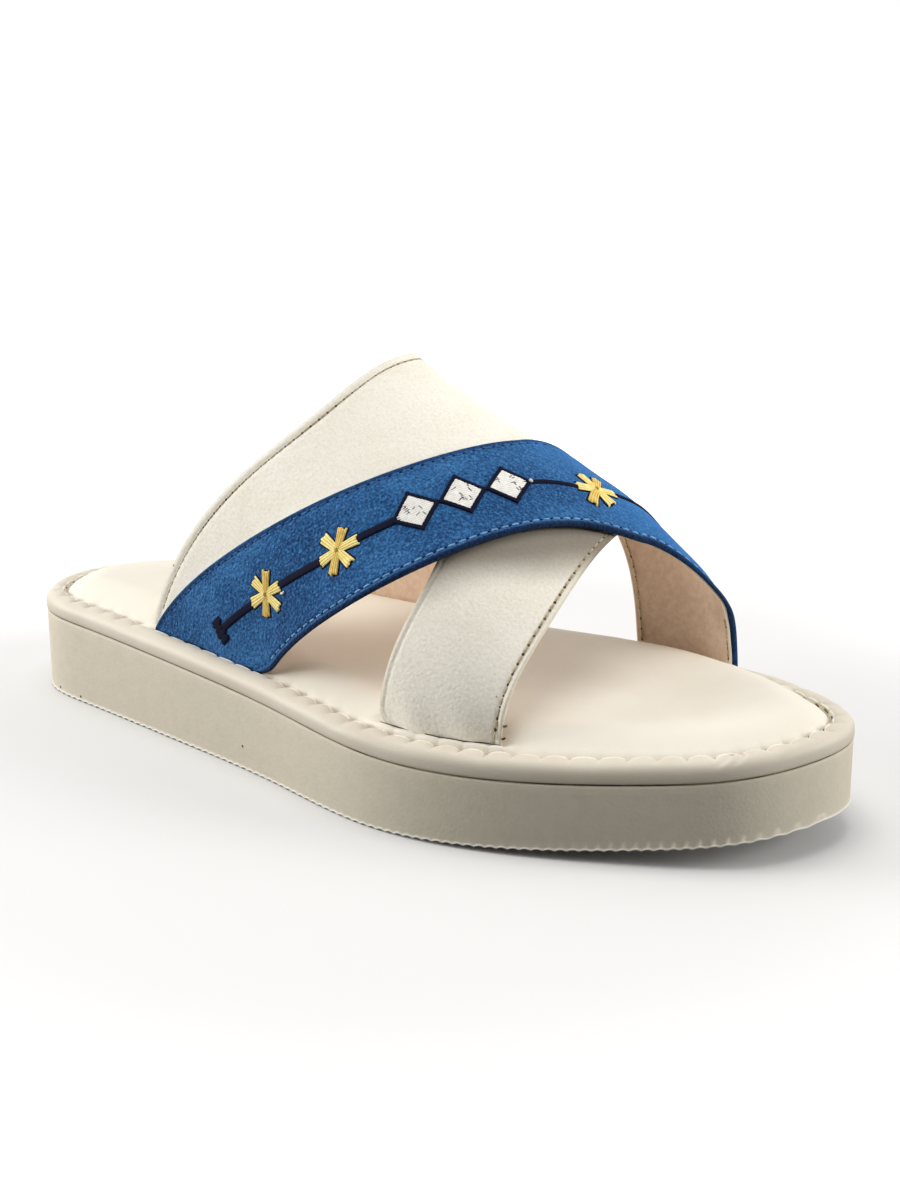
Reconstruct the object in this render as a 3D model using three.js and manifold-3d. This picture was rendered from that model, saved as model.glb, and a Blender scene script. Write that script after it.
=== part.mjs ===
// Right-foot cross-strap slide sandal, in millimetres: +X to the toe, +Y to the inner side, +Z up.
import * as THREE from 'three';
import { mergeVertices } from 'three/addons/utils/BufferGeometryUtils.js';
import Module from 'manifold-3d';

const wasm = await Module();
wasm.setup();

// Sole sizes
const soleLength = 285;
const ballWidth = 114;
const heelHeight = 27;
const toeHeight = 19;
const toeSpring = 9.5;
const springStart = 0.57;
const edgeRound = 1.2;

// Rim and insole sizes
const rimHeight = 6.1;
const rimWidth = 6.0;
const rimBulge = 0.3;
const rimFullness = 0.85;
const rimShoulder = 2.1;
const insoleCrown = 5.0;
const insoleEdge = 4.6;
const crownReach = 14;
const archRise = 5.5;
const archStation = 0.5;
const archLength = 0.3;

// Last sizes, above the rim
const instepHeight = 85.5;
const ridgeLean = 24;
const outerFullness = 2.3;
const innerFullness = 2.4;
const strapInset = 8.3;

// Strap sizes
const strapWall = 2.0;
const facingWall = 1.4;
const footDepth = 5.2;
const slotDepth = 1.6;
const windowTip = 0.02;
const footShare = 0.16;
const clearance = 0.3;

// Facets
const outlineSteps = 88;
const strapRows = 40;
const strapColumns = 14;
const facingColumns = 7;

// Sole outline: station along the length, and half widths as shares of the ball width
const soleTable = [
  { station: 0.03, outer: 0.224, inner: 0.152 },
  { station: 0.12, outer: 0.291, inner: 0.300 },
  { station: 0.28, outer: 0.350, inner: 0.335 },
  { station: 0.45, outer: 0.424, inner: 0.351 },
  { station: 0.60, outer: 0.499, inner: 0.408 },
  { station: 0.74, outer: 0.443, inner: 0.499 },
  { station: 0.87, outer: 0.303, inner: 0.430 },
  { station: 0.96, outer: 0.154, inner: 0.289 },
];
const heelTip = -0.035;
const toeTip = 0.118;

// Last height and lean of its ridge at each station, as shares of the instep height and the ridge lean
const lastTable = [
  { station: 0.19, height: 1.50, lean: 0.76 },
  { station: 0.35, height: 1.21, lean: 0.96 },
  { station: 0.51, height: 0.93, lean: 1.04 },
  { station: 0.67, height: 0.655, lean: 1.13 },
  { station: 0.83, height: 0.21, lean: 0.64 },
];

// Strap edges: way over the foot from the outer side to the inner, and stations of each edge
const strapTable = [
  { over: 0.00, collar: 0.212, blueRear: 0.224, blueFront: 0.420, creamRear: 0.586, creamFront: 0.726 },
  { over: 0.08, collar: 0.278, blueRear: 0.340, blueFront: 0.507, creamRear: 0.597, creamFront: 0.728 },
  { over: 0.22, collar: 0.381, blueRear: 0.478, blueFront: 0.612, creamRear: 0.611, creamFront: 0.731 },
  { over: 0.42, collar: 0.436, blueRear: 0.573, blueFront: 0.697, creamRear: 0.552, creamFront: 0.719 },
  { over: 0.62, collar: 0.428, blueRear: 0.614, blueFront: 0.782, creamRear: 0.460, creamFront: 0.684 },
  { over: 0.82, collar: 0.350, blueRear: 0.672, blueFront: 0.808, creamRear: 0.354, creamFront: 0.556 },
  { over: 1.00, collar: 0.254, blueRear: 0.692, blueFront: 0.813, creamRear: 0.262, creamFront: 0.450 },
];

// Natural cubic spline through knots and values.
function spline(knots, values) {
  const count = knots.length;
  const slope2 = new Array(count).fill(0);
  const work = new Array(count).fill(0);
  for (let i = 1; i < count - 1; i += 1) {
    const share = (knots[i] - knots[i - 1]) / (knots[i + 1] - knots[i - 1]);
    const pivot = share * slope2[i - 1] + 2;
    const rise = (values[i + 1] - values[i]) / (knots[i + 1] - knots[i]);
    const fall = (values[i] - values[i - 1]) / (knots[i] - knots[i - 1]);
    slope2[i] = (share - 1) / pivot;
    work[i] = (6 * (rise - fall) / (knots[i + 1] - knots[i - 1]) - share * work[i - 1]) / pivot;
  }
  for (let i = count - 2; i >= 0; i -= 1) slope2[i] = slope2[i] * slope2[i + 1] + work[i];
  return (at) => {
    let i = 0;
    while (i < count - 2 && at > knots[i + 1]) i += 1;
    const span = knots[i + 1] - knots[i];
    const a = (knots[i + 1] - at) / span;
    const b = (at - knots[i]) / span;
    const bend = ((a ** 3 - a) * slope2[i] + (b ** 3 - b) * slope2[i + 1]) * span * span / 6;
    return a * values[i] + b * values[i + 1] + bend;
  };
}

function smooth(from, to, at) {
  return THREE.MathUtils.smoothstep(at, from, to);
}

// Closed outline of the sole, counter-clockwise from the heel, as points with unit outward normals.
function makeOutline() {
  const outer = soleTable.map((row) => [row.station * soleLength, -row.outer * ballWidth]);
  const inner = soleTable.map((row) => [row.station * soleLength, row.inner * ballWidth]).reverse();
  const loop = [[0, heelTip * ballWidth], ...outer, [soleLength, toeTip * ballWidth], ...inner];
  const wrapped = [...loop, ...loop, ...loop];
  const knots = [0];
  for (let i = 1; i < wrapped.length; i += 1) {
    const step = Math.hypot(wrapped[i][0] - wrapped[i - 1][0], wrapped[i][1] - wrapped[i - 1][1]);
    knots.push(knots[i - 1] + Math.sqrt(step));
  }
  const xAt = spline(knots, wrapped.map((point) => point[0]));
  const yAt = spline(knots, wrapped.map((point) => point[1]));
  const first = knots[loop.length];
  const round = knots[2 * loop.length] - first;
  const points = [];
  for (let i = 0; i < outlineSteps; i += 1) {
    const at = first + round * i / outlineSteps;
    points.push(new THREE.Vector2(xAt(at), yAt(at)));
  }
  const low = Math.min(...points.map((point) => point.y));
  const high = Math.max(...points.map((point) => point.y));
  const left = Math.min(...points.map((point) => point.x));
  const right = Math.max(...points.map((point) => point.x));
  const middle = new THREE.Vector2((left + right) / 2, (low + high) / 2);
  points.forEach((point) => point.sub(middle));
  return points.map((point, i) => {
    const next = points[(i + 1) % outlineSteps];
    const last = points[(i + outlineSteps - 1) % outlineSteps];
    const along = next.clone().sub(last).normalize();
    return { point, normal: new THREE.Vector2(along.y, -along.x) };
  });
}

const outline = makeOutline();

function insetOutline(distance) {
  return outline.map(({ point, normal }) => point.clone().addScaledVector(normal, -distance));
}

// Heights along the length, from the plane that the sole stands on
function stationOf(x) {
  return x / soleLength + 0.5;
}

function soleBottom(x) {
  const past = Math.max(0, stationOf(x) - springStart) / (1 - springStart);
  return toeSpring * past * past;
}

function soleTop(x) {
  return soleBottom(x) + heelHeight + (toeHeight - heelHeight) * smooth(0, 1, stationOf(x));
}

// Distance in from the outline at a point, for the crown of the insole
function insetOf(x, y) {
  let best = Infinity;
  outline.forEach(({ point }, i) => {
    const next = outline[(i + 1) % outlineSteps].point;
    const edge = next.clone().sub(point);
    const reach = new THREE.Vector2(x, y).sub(point);
    const share = THREE.MathUtils.clamp(reach.dot(edge) / edge.lengthSq(), 0, 1);
    best = Math.min(best, reach.addScaledVector(edge, -share).length());
  });
  return best;
}

function insoleTop(x, y) {
  const inset = insetOf(x, y) - rimWidth - clearance;
  const crown = 1 - (1 - THREE.MathUtils.clamp(inset / crownReach, 0, 1)) ** 2;
  const arch = Math.exp(-(((stationOf(x) - archStation) / archLength) ** 2)) * smooth(0, ballWidth / 3, y);
  const pillow = (rimHeight - insoleEdge + insoleCrown) * crown + archRise * arch * smooth(0, crownReach / 2, inset);
  return soleTop(x) + insoleEdge + pillow;
}

// Closed solid between stacked rings of equal count, capped by fans at both ends.
function ringSolid(rings) {
  const count = rings[0].length;
  const positions = [];
  const index = [];
  rings.forEach((ring) => ring.forEach((point) => positions.push(point.x, point.y, point.z)));
  for (let r = 0; r < rings.length - 1; r += 1) {
    for (let i = 0; i < count; i += 1) {
      const next = (i + 1) % count;
      const a = r * count + i;
      const b = r * count + next;
      index.push(a, b, b + count, a, b + count, a + count);
    }
  }
  return { positions, index, count };
}

function closeEnds(solid, startPoint, endPoint) {
  const { positions, index, count } = solid;
  const lastRing = positions.length / 3 - count;
  const start = positions.length / 3;
  positions.push(startPoint.x, startPoint.y, startPoint.z, endPoint.x, endPoint.y, endPoint.z);
  for (let i = 0; i < count; i += 1) {
    const next = (i + 1) % count;
    index.push(start, next, i);
    index.push(start + 1, lastRing + i, lastRing + next);
  }
  return toGeometry(positions, index);
}

function toGeometry(positions, index) {
  const geometry = new THREE.BufferGeometry();
  geometry.setAttribute('position', new THREE.Float32BufferAttribute(positions, 3));
  geometry.setIndex(index);
  return geometry;
}

function toSolid(geometry) {
  const plain = geometry.clone();
  plain.deleteAttribute('normal');
  plain.deleteAttribute('uv');
  const merged = mergeVertices(plain, 1e-4);
  const vertProperties = new Float32Array(merged.attributes.position.array);
  const triVerts = new Uint32Array(merged.index.array);
  return new wasm.Manifold(new wasm.Mesh({ numProp: 3, vertProperties, triVerts }));
}

function fromSolid(solid) {
  const mesh = solid.getMesh();
  return toGeometry(Array.from(mesh.vertProperties), Array.from(mesh.triVerts));
}

function ringAt(inset, heightAt) {
  return insetOutline(inset).map((point) => new THREE.Vector3(point.x, point.y, heightAt(point.x, point.y)));
}

// Ring drawn in towards the middle of the outline, by a share of the way
function innerRing(inset, share, heightAt) {
  return insetOutline(inset).map((point) => {
    const x = point.x * share;
    const y = point.y * share;
    return new THREE.Vector3(x, y, heightAt(x, y));
  });
}

const innerShares = [0.86, 0.66, 0.4, 0.18];

function makeSole() {
  const rings = [...innerShares].reverse().map((share) => innerRing(edgeRound, share, soleBottom));
  rings.push(ringAt(edgeRound, soleBottom));
  rings.push(ringAt(0, (x) => soleBottom(x) + edgeRound));
  rings.push(ringAt(0, (x) => (soleBottom(x) + soleTop(x)) / 2));
  rings.push(ringAt(0, (x) => soleTop(x) - edgeRound / 2));
  rings.push(ringAt(edgeRound / 2, soleTop));
  innerShares.forEach((share) => rings.push(innerRing(edgeRound / 2, share, soleTop)));
  const low = new THREE.Vector3(0, 0, soleBottom(0));
  const high = new THREE.Vector3(0, 0, soleTop(0));
  return closeEnds(ringSolid(rings), low, high);
}

// Rolled rim: a flat-bottomed section with a full round top, carried round the outline
function makeRim() {
  const arcSteps = 8;
    const half = (rimWidth + rimBulge) / 2;
  const section = [[rimWidth - rimBulge, 0], [edgeRound / 2, 0]];
  for (let i = 0; i <= arcSteps; i += 1) {
    const angle = Math.PI * i / arcSteps;
    const side = Math.sign(Math.cos(angle)) * Math.abs(Math.cos(angle)) ** rimFullness;
    const rise = (rimHeight - rimShoulder) * Math.sin(angle) ** rimFullness;
    section.push([half - rimBulge - half * side, rimShoulder + rise]);
  }
  const positions = [];
  const index = [];
  const rings = section.map(([inset, height]) => ringAt(inset, (x) => soleTop(x) + clearance + height));
  rings.forEach((ring) => ring.forEach((point) => positions.push(point.x, point.y, point.z)));
  for (let r = 0; r < rings.length; r += 1) {
    const up = (r + 1) % rings.length;
    for (let i = 0; i < outlineSteps; i += 1) {
      const next = (i + 1) % outlineSteps;
      const a = r * outlineSteps;
      const b = up * outlineSteps;
      index.push(a + i, a + next, b + next, a + i, b + next, b + i);
    }
  }
  return toGeometry(positions, index);
}

// Last function: a leaning section over the foot at each station, standing on the insole edge
const lastStations = lastTable.map((row) => row.station);
const lastHeight = spline(lastStations, lastTable.map((row) => row.height * instepHeight));
const lastLean = spline(lastStations, lastTable.map((row) => row.lean * ridgeLean));

function edgeAt(x, side) {
  const loop = insetOutline(strapInset);
  for (let i = 0; i < outlineSteps; i += 1) {
    const a = loop[i];
    const b = loop[(i + 1) % outlineSteps];
    const forward = side < 0 ? b.x > a.x : b.x < a.x;
    if (forward && (x - a.x) * (x - b.x) <= 0) return a.y + (b.y - a.y) * (x - a.x) / (b.x - a.x);
  }
  return 0;
}

const edgeStations = Array.from({ length: 25 }, (_, i) => (0.14 + 0.03 * i - 0.5) * soleLength);
const outerEdge = spline(edgeStations, edgeStations.map((x) => edgeAt(x, -1)));
const innerEdge = spline(edgeStations, edgeStations.map((x) => edgeAt(x, 1)));

function lastPoint(x, over) {
  const way = THREE.MathUtils.clamp(over, 0, 1);
  const drop = over < 0 ? -over : Math.max(0, over - 1);
  const middle = (outerEdge(x) + innerEdge(x)) / 2;
  const half = (innerEdge(x) - outerEdge(x)) / 2;
  const across = Math.cos(Math.PI * way);
  const up = Math.sin(Math.PI * way);
  const power = 2 / (outerFullness + (innerFullness - outerFullness) * way);
  const y = middle - half * Math.sign(across) * Math.abs(across) ** power + lastLean(stationOf(x)) * up * up;
  const z = soleTop(x) + rimHeight + lastHeight(stationOf(x)) * up ** power - drop * footDepth;
  return new THREE.Vector3(x, y, z);
}

function lastNormal(x, over) {
  const way = THREE.MathUtils.clamp(over, 0.004, 0.996);
  const across = lastPoint(x, way + 0.002).sub(lastPoint(x, way - 0.002));
  const along = lastPoint(x + 0.5, way).sub(lastPoint(x - 0.5, way));
  if (over <= 0 || over >= 1) across.set(0, 0, over <= 0 ? 1 : -1);
  return along.cross(across).normalize();
}

function shellPoint(x, over, out) {
  return lastPoint(x, over).addScaledVector(lastNormal(x, over), out);
}

const way = strapTable.map((row) => row.over);
const edges = {};
['collar', 'blueRear', 'blueFront', 'creamRear', 'creamFront'].forEach((name) => {
  const stations = spline(way, strapTable.map((row) => row[name]));
  edges[name] = (over) => (stations(THREE.MathUtils.clamp(over, 0, 1)) - 0.5) * soleLength;
});

// Thick patch of the last between two edges, over a list of ways, from one offset to another
function patch(rear, front, ways, columns, inside, outside) {
  const positions = [];
  const index = [];
  const rows = ways.length;
  [inside, outside].forEach((out) => {
    ways.forEach((over) => {
      for (let c = 0; c <= columns; c += 1) {
        const x = rear(over) + (front(over) - rear(over)) * c / columns;
        const point = shellPoint(x, over, out);
        positions.push(point.x, point.y, point.z);
      }
    });
  });
  const layer = rows * (columns + 1);
  const at = (row, column, level) => level * layer + row * (columns + 1) + column;
  const quad = (a, b, c, d) => index.push(a, b, c, a, c, d);
  for (let r = 0; r < rows - 1; r += 1) {
    for (let c = 0; c < columns; c += 1) {
      quad(at(r, c, 1), at(r, c + 1, 1), at(r + 1, c + 1, 1), at(r + 1, c, 1));
      quad(at(r, c, 0), at(r + 1, c, 0), at(r + 1, c + 1, 0), at(r, c + 1, 0));
    }
    quad(at(r, 0, 0), at(r, 0, 1), at(r + 1, 0, 1), at(r + 1, 0, 0));
    quad(at(r, columns, 0), at(r + 1, columns, 0), at(r + 1, columns, 1), at(r, columns, 1));
  }
  for (let c = 0; c < columns; c += 1) {
    quad(at(0, c, 0), at(0, c + 1, 0), at(0, c + 1, 1), at(0, c, 1));
    quad(at(rows - 1, c, 0), at(rows - 1, c, 1), at(rows - 1, c + 1, 1), at(rows - 1, c + 1, 0));
  }
  return toGeometry(positions, index);
}

// Way over the foot where two edges cross, between two ways
function crossing(first, second, from, to) {
  let low = from;
  let high = to;
  const sign = Math.sign(first(low) - second(low));
  for (let i = 0; i < 40; i += 1) {
    const middle = (low + high) / 2;
    if (Math.sign(first(middle) - second(middle)) === sign) low = middle;
    else high = middle;
  }
  return (low + high) / 2;
}

function ladder(from, to, steps) {
  return Array.from({ length: steps + 1 }, (_, i) => from + (to - from) * i / steps);
}

const nearApex = crossing(edges.blueFront, edges.creamRear, 0, 0.45);
const farApex = crossing(edges.creamFront, edges.blueRear, 0.5, 1);
const notch = crossing(edges.blueFront, edges.creamFront, 0.3, 0.7);

function frontEdge(over) {
  return Math.max(edges.blueFront(over), edges.creamFront(over));
}

function fullWays() {
  const before = Math.round(strapRows * notch);
  return [-1, ...ladder(0, notch, before), ...ladder(notch, 1, strapRows - before).slice(1), 2];
}

const cutReach = 3 * strapWall;

function makeUpper() {
  const shell = toSolid(patch(edges.collar, frontEdge, fullWays(), strapColumns, -strapWall, 0));
  const nearWays = [-slotDepth, ...ladder(0, nearApex * (1 - windowTip), 10)];
  const farWays = [...ladder(farApex + (1 - farApex) * windowTip, 1, 10), 1 + slotDepth];
  const nearWindow = toSolid(patch(edges.blueFront, edges.creamRear, nearWays, 3, -cutReach, cutReach));
  const farWindow = toSolid(patch(edges.creamFront, edges.blueRear, farWays, 3, -cutReach, cutReach));
  return fromSolid(shell.subtract(nearWindow).subtract(farWindow));
}

function makeFacing() {
  return patch(edges.blueRear, edges.blueFront, fullWays(), facingColumns, clearance, clearance + facingWall);
}

function makeInsole() {
  const edgeInset = rimWidth + clearance;
  const bottom = (x) => soleTop(x) + clearance;
  const rings = [...innerShares].reverse().map((share) => innerRing(edgeInset, share, bottom));
  rings.push(ringAt(edgeInset, bottom));
  rings.push(ringAt(edgeInset, insoleTop));
  [0.15, 0.4, 0.8].forEach((share) => rings.push(ringAt(edgeInset + share * crownReach, insoleTop)));
  innerShares.forEach((share) => rings.push(innerRing(edgeInset + crownReach, share, insoleTop)));
  const low = new THREE.Vector3(0, 0, bottom(0));
  const high = new THREE.Vector3(0, 0, insoleTop(0, 0));
  let pad = toSolid(closeEnds(ringSolid(rings), low, high));
  const nearFoot = [-slotDepth, ...ladder(0, footShare, 4)];
  const farFoot = [...ladder(1 - footShare, 1, 4), 1 + slotDepth];
  const feet = [
    { rear: edges.collar, front: edges.blueFront, ways: nearFoot, out: facingWall + rimWidth },
    { rear: edges.creamRear, front: edges.creamFront, ways: nearFoot, out: 0 },
    { rear: edges.collar, front: edges.creamFront, ways: farFoot, out: 0 },
    { rear: edges.blueRear, front: edges.blueFront, ways: farFoot, out: facingWall + rimWidth },
  ];
  feet.forEach(({ rear, front, ways, out }) => {
    const wideRear = (over) => rear(over) - clearance;
    const wideFront = (over) => front(over) + clearance;
    const slot = patch(wideRear, wideFront, ways, 8, -strapWall - clearance, out + clearance);
    pad = pad.subtract(toSolid(slot));
  });
  return fromSolid(pad);
}

const cream = new THREE.Color(0xded6c6);
const foam = new THREE.Color(0xcfc6b4);
const pad = new THREE.Color(0xe6decd);
const blue = new THREE.Color(0x34689c);

function makePart(name, geometry, color, roughness) {
  geometry.computeVertexNormals();
  const mesh = new THREE.Mesh(geometry, new THREE.MeshStandardMaterial({ color, roughness, metalness: 0 }));
  mesh.name = name;
  return mesh;
}

const sandal = new THREE.Group();
sandal.add(makePart('sole', makeSole(), foam, 0.7));
sandal.add(makePart('rim', makeRim(), cream, 0.6));
sandal.add(makePart('insole', makeInsole(), pad, 0.55));
sandal.add(makePart('upper', makeUpper(), cream, 0.9));
sandal.add(makePart('blue_strap', makeFacing(), blue, 0.9));

export default sandal;
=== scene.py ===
import bpy
import numpy as np
from mathutils import Matrix, Vector


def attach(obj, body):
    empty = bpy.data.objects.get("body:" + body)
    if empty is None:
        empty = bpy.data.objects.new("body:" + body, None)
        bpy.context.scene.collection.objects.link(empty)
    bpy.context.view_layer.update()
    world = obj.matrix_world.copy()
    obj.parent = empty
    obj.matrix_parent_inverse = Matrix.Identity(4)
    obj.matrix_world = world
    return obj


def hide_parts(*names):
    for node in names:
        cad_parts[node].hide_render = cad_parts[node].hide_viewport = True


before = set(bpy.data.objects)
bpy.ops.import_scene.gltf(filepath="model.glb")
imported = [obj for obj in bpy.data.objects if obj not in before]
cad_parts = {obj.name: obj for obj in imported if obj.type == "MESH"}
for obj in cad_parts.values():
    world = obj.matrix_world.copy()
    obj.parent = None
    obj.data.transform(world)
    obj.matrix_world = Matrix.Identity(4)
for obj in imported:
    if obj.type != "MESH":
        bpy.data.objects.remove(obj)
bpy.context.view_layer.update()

# Sole
# One block of light foam, moulded with a straight side wall that thins and springs up at the toe.
# Fine ribs cross its underside, and their ends scallop the lower edge under a thin moulding lip.
sole_length = 285.0
ball_width = 114.0
heel_height = 27.0
toe_height = 19.0
toe_spring = 9.5
spring_start = 0.57
rib_pitch = 3.1
rib_depth = 0.45
lip_reach = 0.25
edge_round = 0.7
tread_inset = 1.2
heel_tip = -0.035
toe_tip = 0.118

# Station along the sole, then outer and inner half widths as shares of the ball width.
sole_table = [
    (0.03, 0.224, 0.152),
    (0.12, 0.291, 0.300),
    (0.28, 0.350, 0.335),
    (0.45, 0.424, 0.351),
    (0.60, 0.499, 0.408),
    (0.74, 0.443, 0.499),
    (0.87, 0.303, 0.430),
    (0.96, 0.154, 0.289),
]


def spline(knots, values):
    """Natural cubic spline through knots and values."""
    knots = np.asarray(knots, float)
    values = np.asarray(values, float)
    gaps = np.diff(knots)
    count = len(knots)
    system = np.eye(count)
    bends = np.zeros(count)
    for i in range(1, count - 1):
        system[i, i - 1 : i + 2] = gaps[i - 1], 2 * (gaps[i - 1] + gaps[i]), gaps[i]
        bends[i] = 6 * ((values[i + 1] - values[i]) / gaps[i] - (values[i] - values[i - 1]) / gaps[i - 1])
    second = np.linalg.solve(system, bends)

    def at(place):
        i = np.clip(np.searchsorted(knots, place) - 1, 0, count - 2)
        a = (knots[i + 1] - place) / gaps[i]
        b = (place - knots[i]) / gaps[i]
        bend = ((a**3 - a) * second[i] + (b**3 - b) * second[i + 1]) * gaps[i] ** 2 / 6
        return a * values[i] + b * values[i + 1] + bend

    return at


def smooth(start, end, value):
    """Soft step from 0 at start to 1 at end."""
    share = np.clip((value - start) / (end - start), 0, 1)
    return share * share * (3 - 2 * share)


def bell(value, centre, width):
    """Soft bump of height 1 round a centre."""
    return np.exp(-(((value - centre) / width) ** 2))


def run_of(path):
    """Distance run along a path, at each of its points."""
    return np.concatenate([[0], np.cumsum(np.linalg.norm(np.diff(path, axis=0), axis=1))])


def make_outline(steps):
    """Outline of the sole, round from the heel: points, outward normals, way round and length in mm."""
    outer = [(row[0] * sole_length, -row[1] * ball_width) for row in sole_table]
    inner = [(row[0] * sole_length, row[2] * ball_width) for row in reversed(sole_table)]
    loop = [(0.0, heel_tip * ball_width), *outer, (sole_length, toe_tip * ball_width), *inner]
    wrapped = np.array(loop * 3)
    chords = np.linalg.norm(np.diff(wrapped, axis=0), axis=1)
    knots = np.concatenate([[0], np.cumsum(np.sqrt(chords))])
    fine = np.linspace(knots[len(loop)], knots[2 * len(loop)], 4001)
    path = np.column_stack([spline(knots, wrapped[:, 0])(fine), spline(knots, wrapped[:, 1])(fine)])
    path -= (path.min(axis=0) + path.max(axis=0)) / 2
    reach = run_of(path)
    way = np.arange(steps) * reach[-1] / steps
    points = np.column_stack([np.interp(way, reach, path[:, 0]), np.interp(way, reach, path[:, 1])])
    along = np.roll(points, -1, axis=0) - np.roll(points, 1, axis=0)
    along /= np.linalg.norm(along, axis=1, keepdims=True)
    return points, np.column_stack([along[:, 1], -along[:, 0]]), way, reach[-1]


outline_steps = 1400
outline, outward, outline_way, outline_length = make_outline(outline_steps)


def station_of(x):
    """Share of the sole's length from the heel."""
    return x / sole_length + 0.5


def sole_bottom(x):
    """Height of the sole's underside, which springs up towards the toe."""
    past = np.maximum(0, station_of(x) - spring_start) / (1 - spring_start)
    return toe_spring * past * past


def sole_top(x):
    """Height of the side wall's upper edge."""
    return sole_bottom(x) + heel_height + (toe_height - heel_height) * smooth(0, 1, station_of(x))


def inset_ring(inset, height_at, share=1.0):
    """Ring of the outline, drawn in by inset and then towards the middle by share, at its own height."""
    flat = (outline - outward * np.reshape(inset, (-1, 1))) * share
    return np.column_stack([flat, height_at(flat[:, 0]) + np.zeros(len(flat))])


def ring_faces(rings, count, closed=False):
    """Quads between stacked rings of equal count."""
    row = np.arange(rings if closed else rings - 1)[:, None]
    here = np.arange(count)[None, :]
    ahead = (here + 1) % count
    above = (row + 1) % rings
    quads = [row * count + here, row * count + ahead, above * count + ahead, above * count + here]
    return np.stack(quads, axis=-1).reshape(-1, 4).tolist()


def fan_faces(first, count, middle, flip):
    """Triangles from one ring to a middle point."""
    here = np.arange(count)
    ahead = (here + 1) % count
    sides = (ahead, here) if flip else (here, ahead)
    return [[middle, int(first + a), int(first + b)] for a, b in zip(*sides)]


def make_piece(name, material, slot, points, faces, marks=None):
    """Smooth piece from points in millimetres, riding on the sandal, with named marks for its shader."""
    mesh = bpy.data.meshes.new(name)
    mesh.from_pydata((np.asarray(points).reshape(-1, 3) * 0.001).tolist(), [], faces)
    mesh.polygons.foreach_set("use_smooth", [True] * len(mesh.polygons))
    for label, values in (marks or {}).items():
        layer = mesh.attributes.new(label, "FLOAT", "POINT")
        layer.data.foreach_set("value", np.ravel(values).astype(np.float32))
    mesh.update()
    mesh.materials.append(material)
    piece = bpy.data.objects.new(name, mesh)
    bpy.context.scene.collection.objects.link(piece)
    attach(piece, "root")
    return piece


def feed(tree, node, values):
    """Sets the named inputs of a node, or links those whose value is the output of another node."""
    for label, value in values.items():
        if isinstance(value, bpy.types.NodeSocket):
            tree.links.new(value, node.inputs[label])
        else:
            node.inputs[label].default_value = value


def place_node(tree, kind, values, **settings):
    """New node with its settings and fed inputs."""
    node = tree.nodes.new(kind)
    for label, setting in settings.items():
        setattr(node, label, setting)
    feed(tree, node, values)
    return node


def place_group(tree, group, values):
    """A node group in a material, with its own values."""
    return place_node(tree, "ShaderNodeGroup", values, node_tree=group)


def new_group(name, colours, numbers, outputs):
    """Empty shader node group with named sockets: the group, what it is given and its end node."""
    group = bpy.data.node_groups.new(name, "ShaderNodeTree")
    for label in (*colours, *numbers):
        kind = "NodeSocketColor" if label in colours else "NodeSocketFloat"
        group.interface.new_socket(label, in_out="INPUT", socket_type=kind)
    for label in outputs:
        kind = "NodeSocketColor" if label == "Color" else "NodeSocketFloat"
        group.interface.new_socket(label, in_out="OUTPUT", socket_type=kind)
    given = group.nodes.new("NodeGroupInput").outputs
    return group, given, group.nodes.new("NodeGroupOutput")


def object_place(tree):
    """Place of a point on the object itself."""
    return tree.nodes.new("ShaderNodeTexCoord").outputs["Object"]


def reckon(tree, operation, first, second):
    """Result of a sum on two values."""
    return place_node(tree, "ShaderNodeMath", {0: first, 1: second}, operation=operation).outputs[0]


def blend(tree, share, first, second):
    """Two colours mixed by a share."""
    mix = place_node(tree, "ShaderNodeMix", {"Factor": share, "A": first, "B": second}, data_type="RGBA")
    return mix.outputs["Result"]


def new_material(name, roughness, specular, sheen=0.0):
    """Material with its shader's constant values set."""
    material = bpy.data.materials.new(name)
    material.use_nodes = True
    tree = material.node_tree
    shader = tree.nodes["Principled BSDF"]
    feed(tree, shader, {"Roughness": roughness, "Specular IOR Level": specular})
    feed(tree, shader, {"Sheen Weight": sheen, "Sheen Roughness": 0.6})
    return material, tree, shader


def tint(red, green, blue):
    """Linear colour from the 0 to 255 values of a screen."""
    channels = np.array([red, green, blue]) / 255
    linear = np.where(channels <= 0.04045, channels / 12.92, ((channels + 0.055) / 1.055) ** 2.4)
    return (*linear.tolist(), 1.0)


def make_handled():
    """Uneven cast and a few stray specks, on any of the materials."""
    colours = ["Base", "Cast", "Speck"]
    numbers = ["Cast Scale", "Cast Amount", "Speck Scale", "Speck Size", "Speck Share"]
    group, given, end = new_group("handled_surface", colours, numbers, ["Color"])
    place = object_place(group)
    cloud = {"Vector": place, "Scale": given["Cast Scale"], "Detail": 4.0, "Roughness": 0.6}
    clouds = place_node(group, "ShaderNodeTexNoise", cloud)
    spread = {"Value": clouds.outputs["Fac"], "From Min": 0.38, "From Max": 0.68}
    patches = place_node(group, "ShaderNodeMapRange", spread).outputs["Result"]
    share = reckon(group, "MULTIPLY", patches, given["Cast Amount"])
    cast = blend(group, share, given["Base"], given["Cast"])
    cells = place_node(group, "ShaderNodeTexVoronoi", {"Vector": place, "Scale": given["Speck Scale"]})
    lottery = place_node(group, "ShaderNodeSeparateColor", {"Color": cells.outputs["Color"]})
    near = reckon(group, "LESS_THAN", cells.outputs["Distance"], given["Speck Size"])
    drawn = reckon(group, "LESS_THAN", lottery.outputs["Red"], given["Speck Share"])
    specks = reckon(group, "MULTIPLY", near, drawn)
    feed(group, end, {"Color": blend(group, specks, cast, given["Speck"])})
    return group


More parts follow.
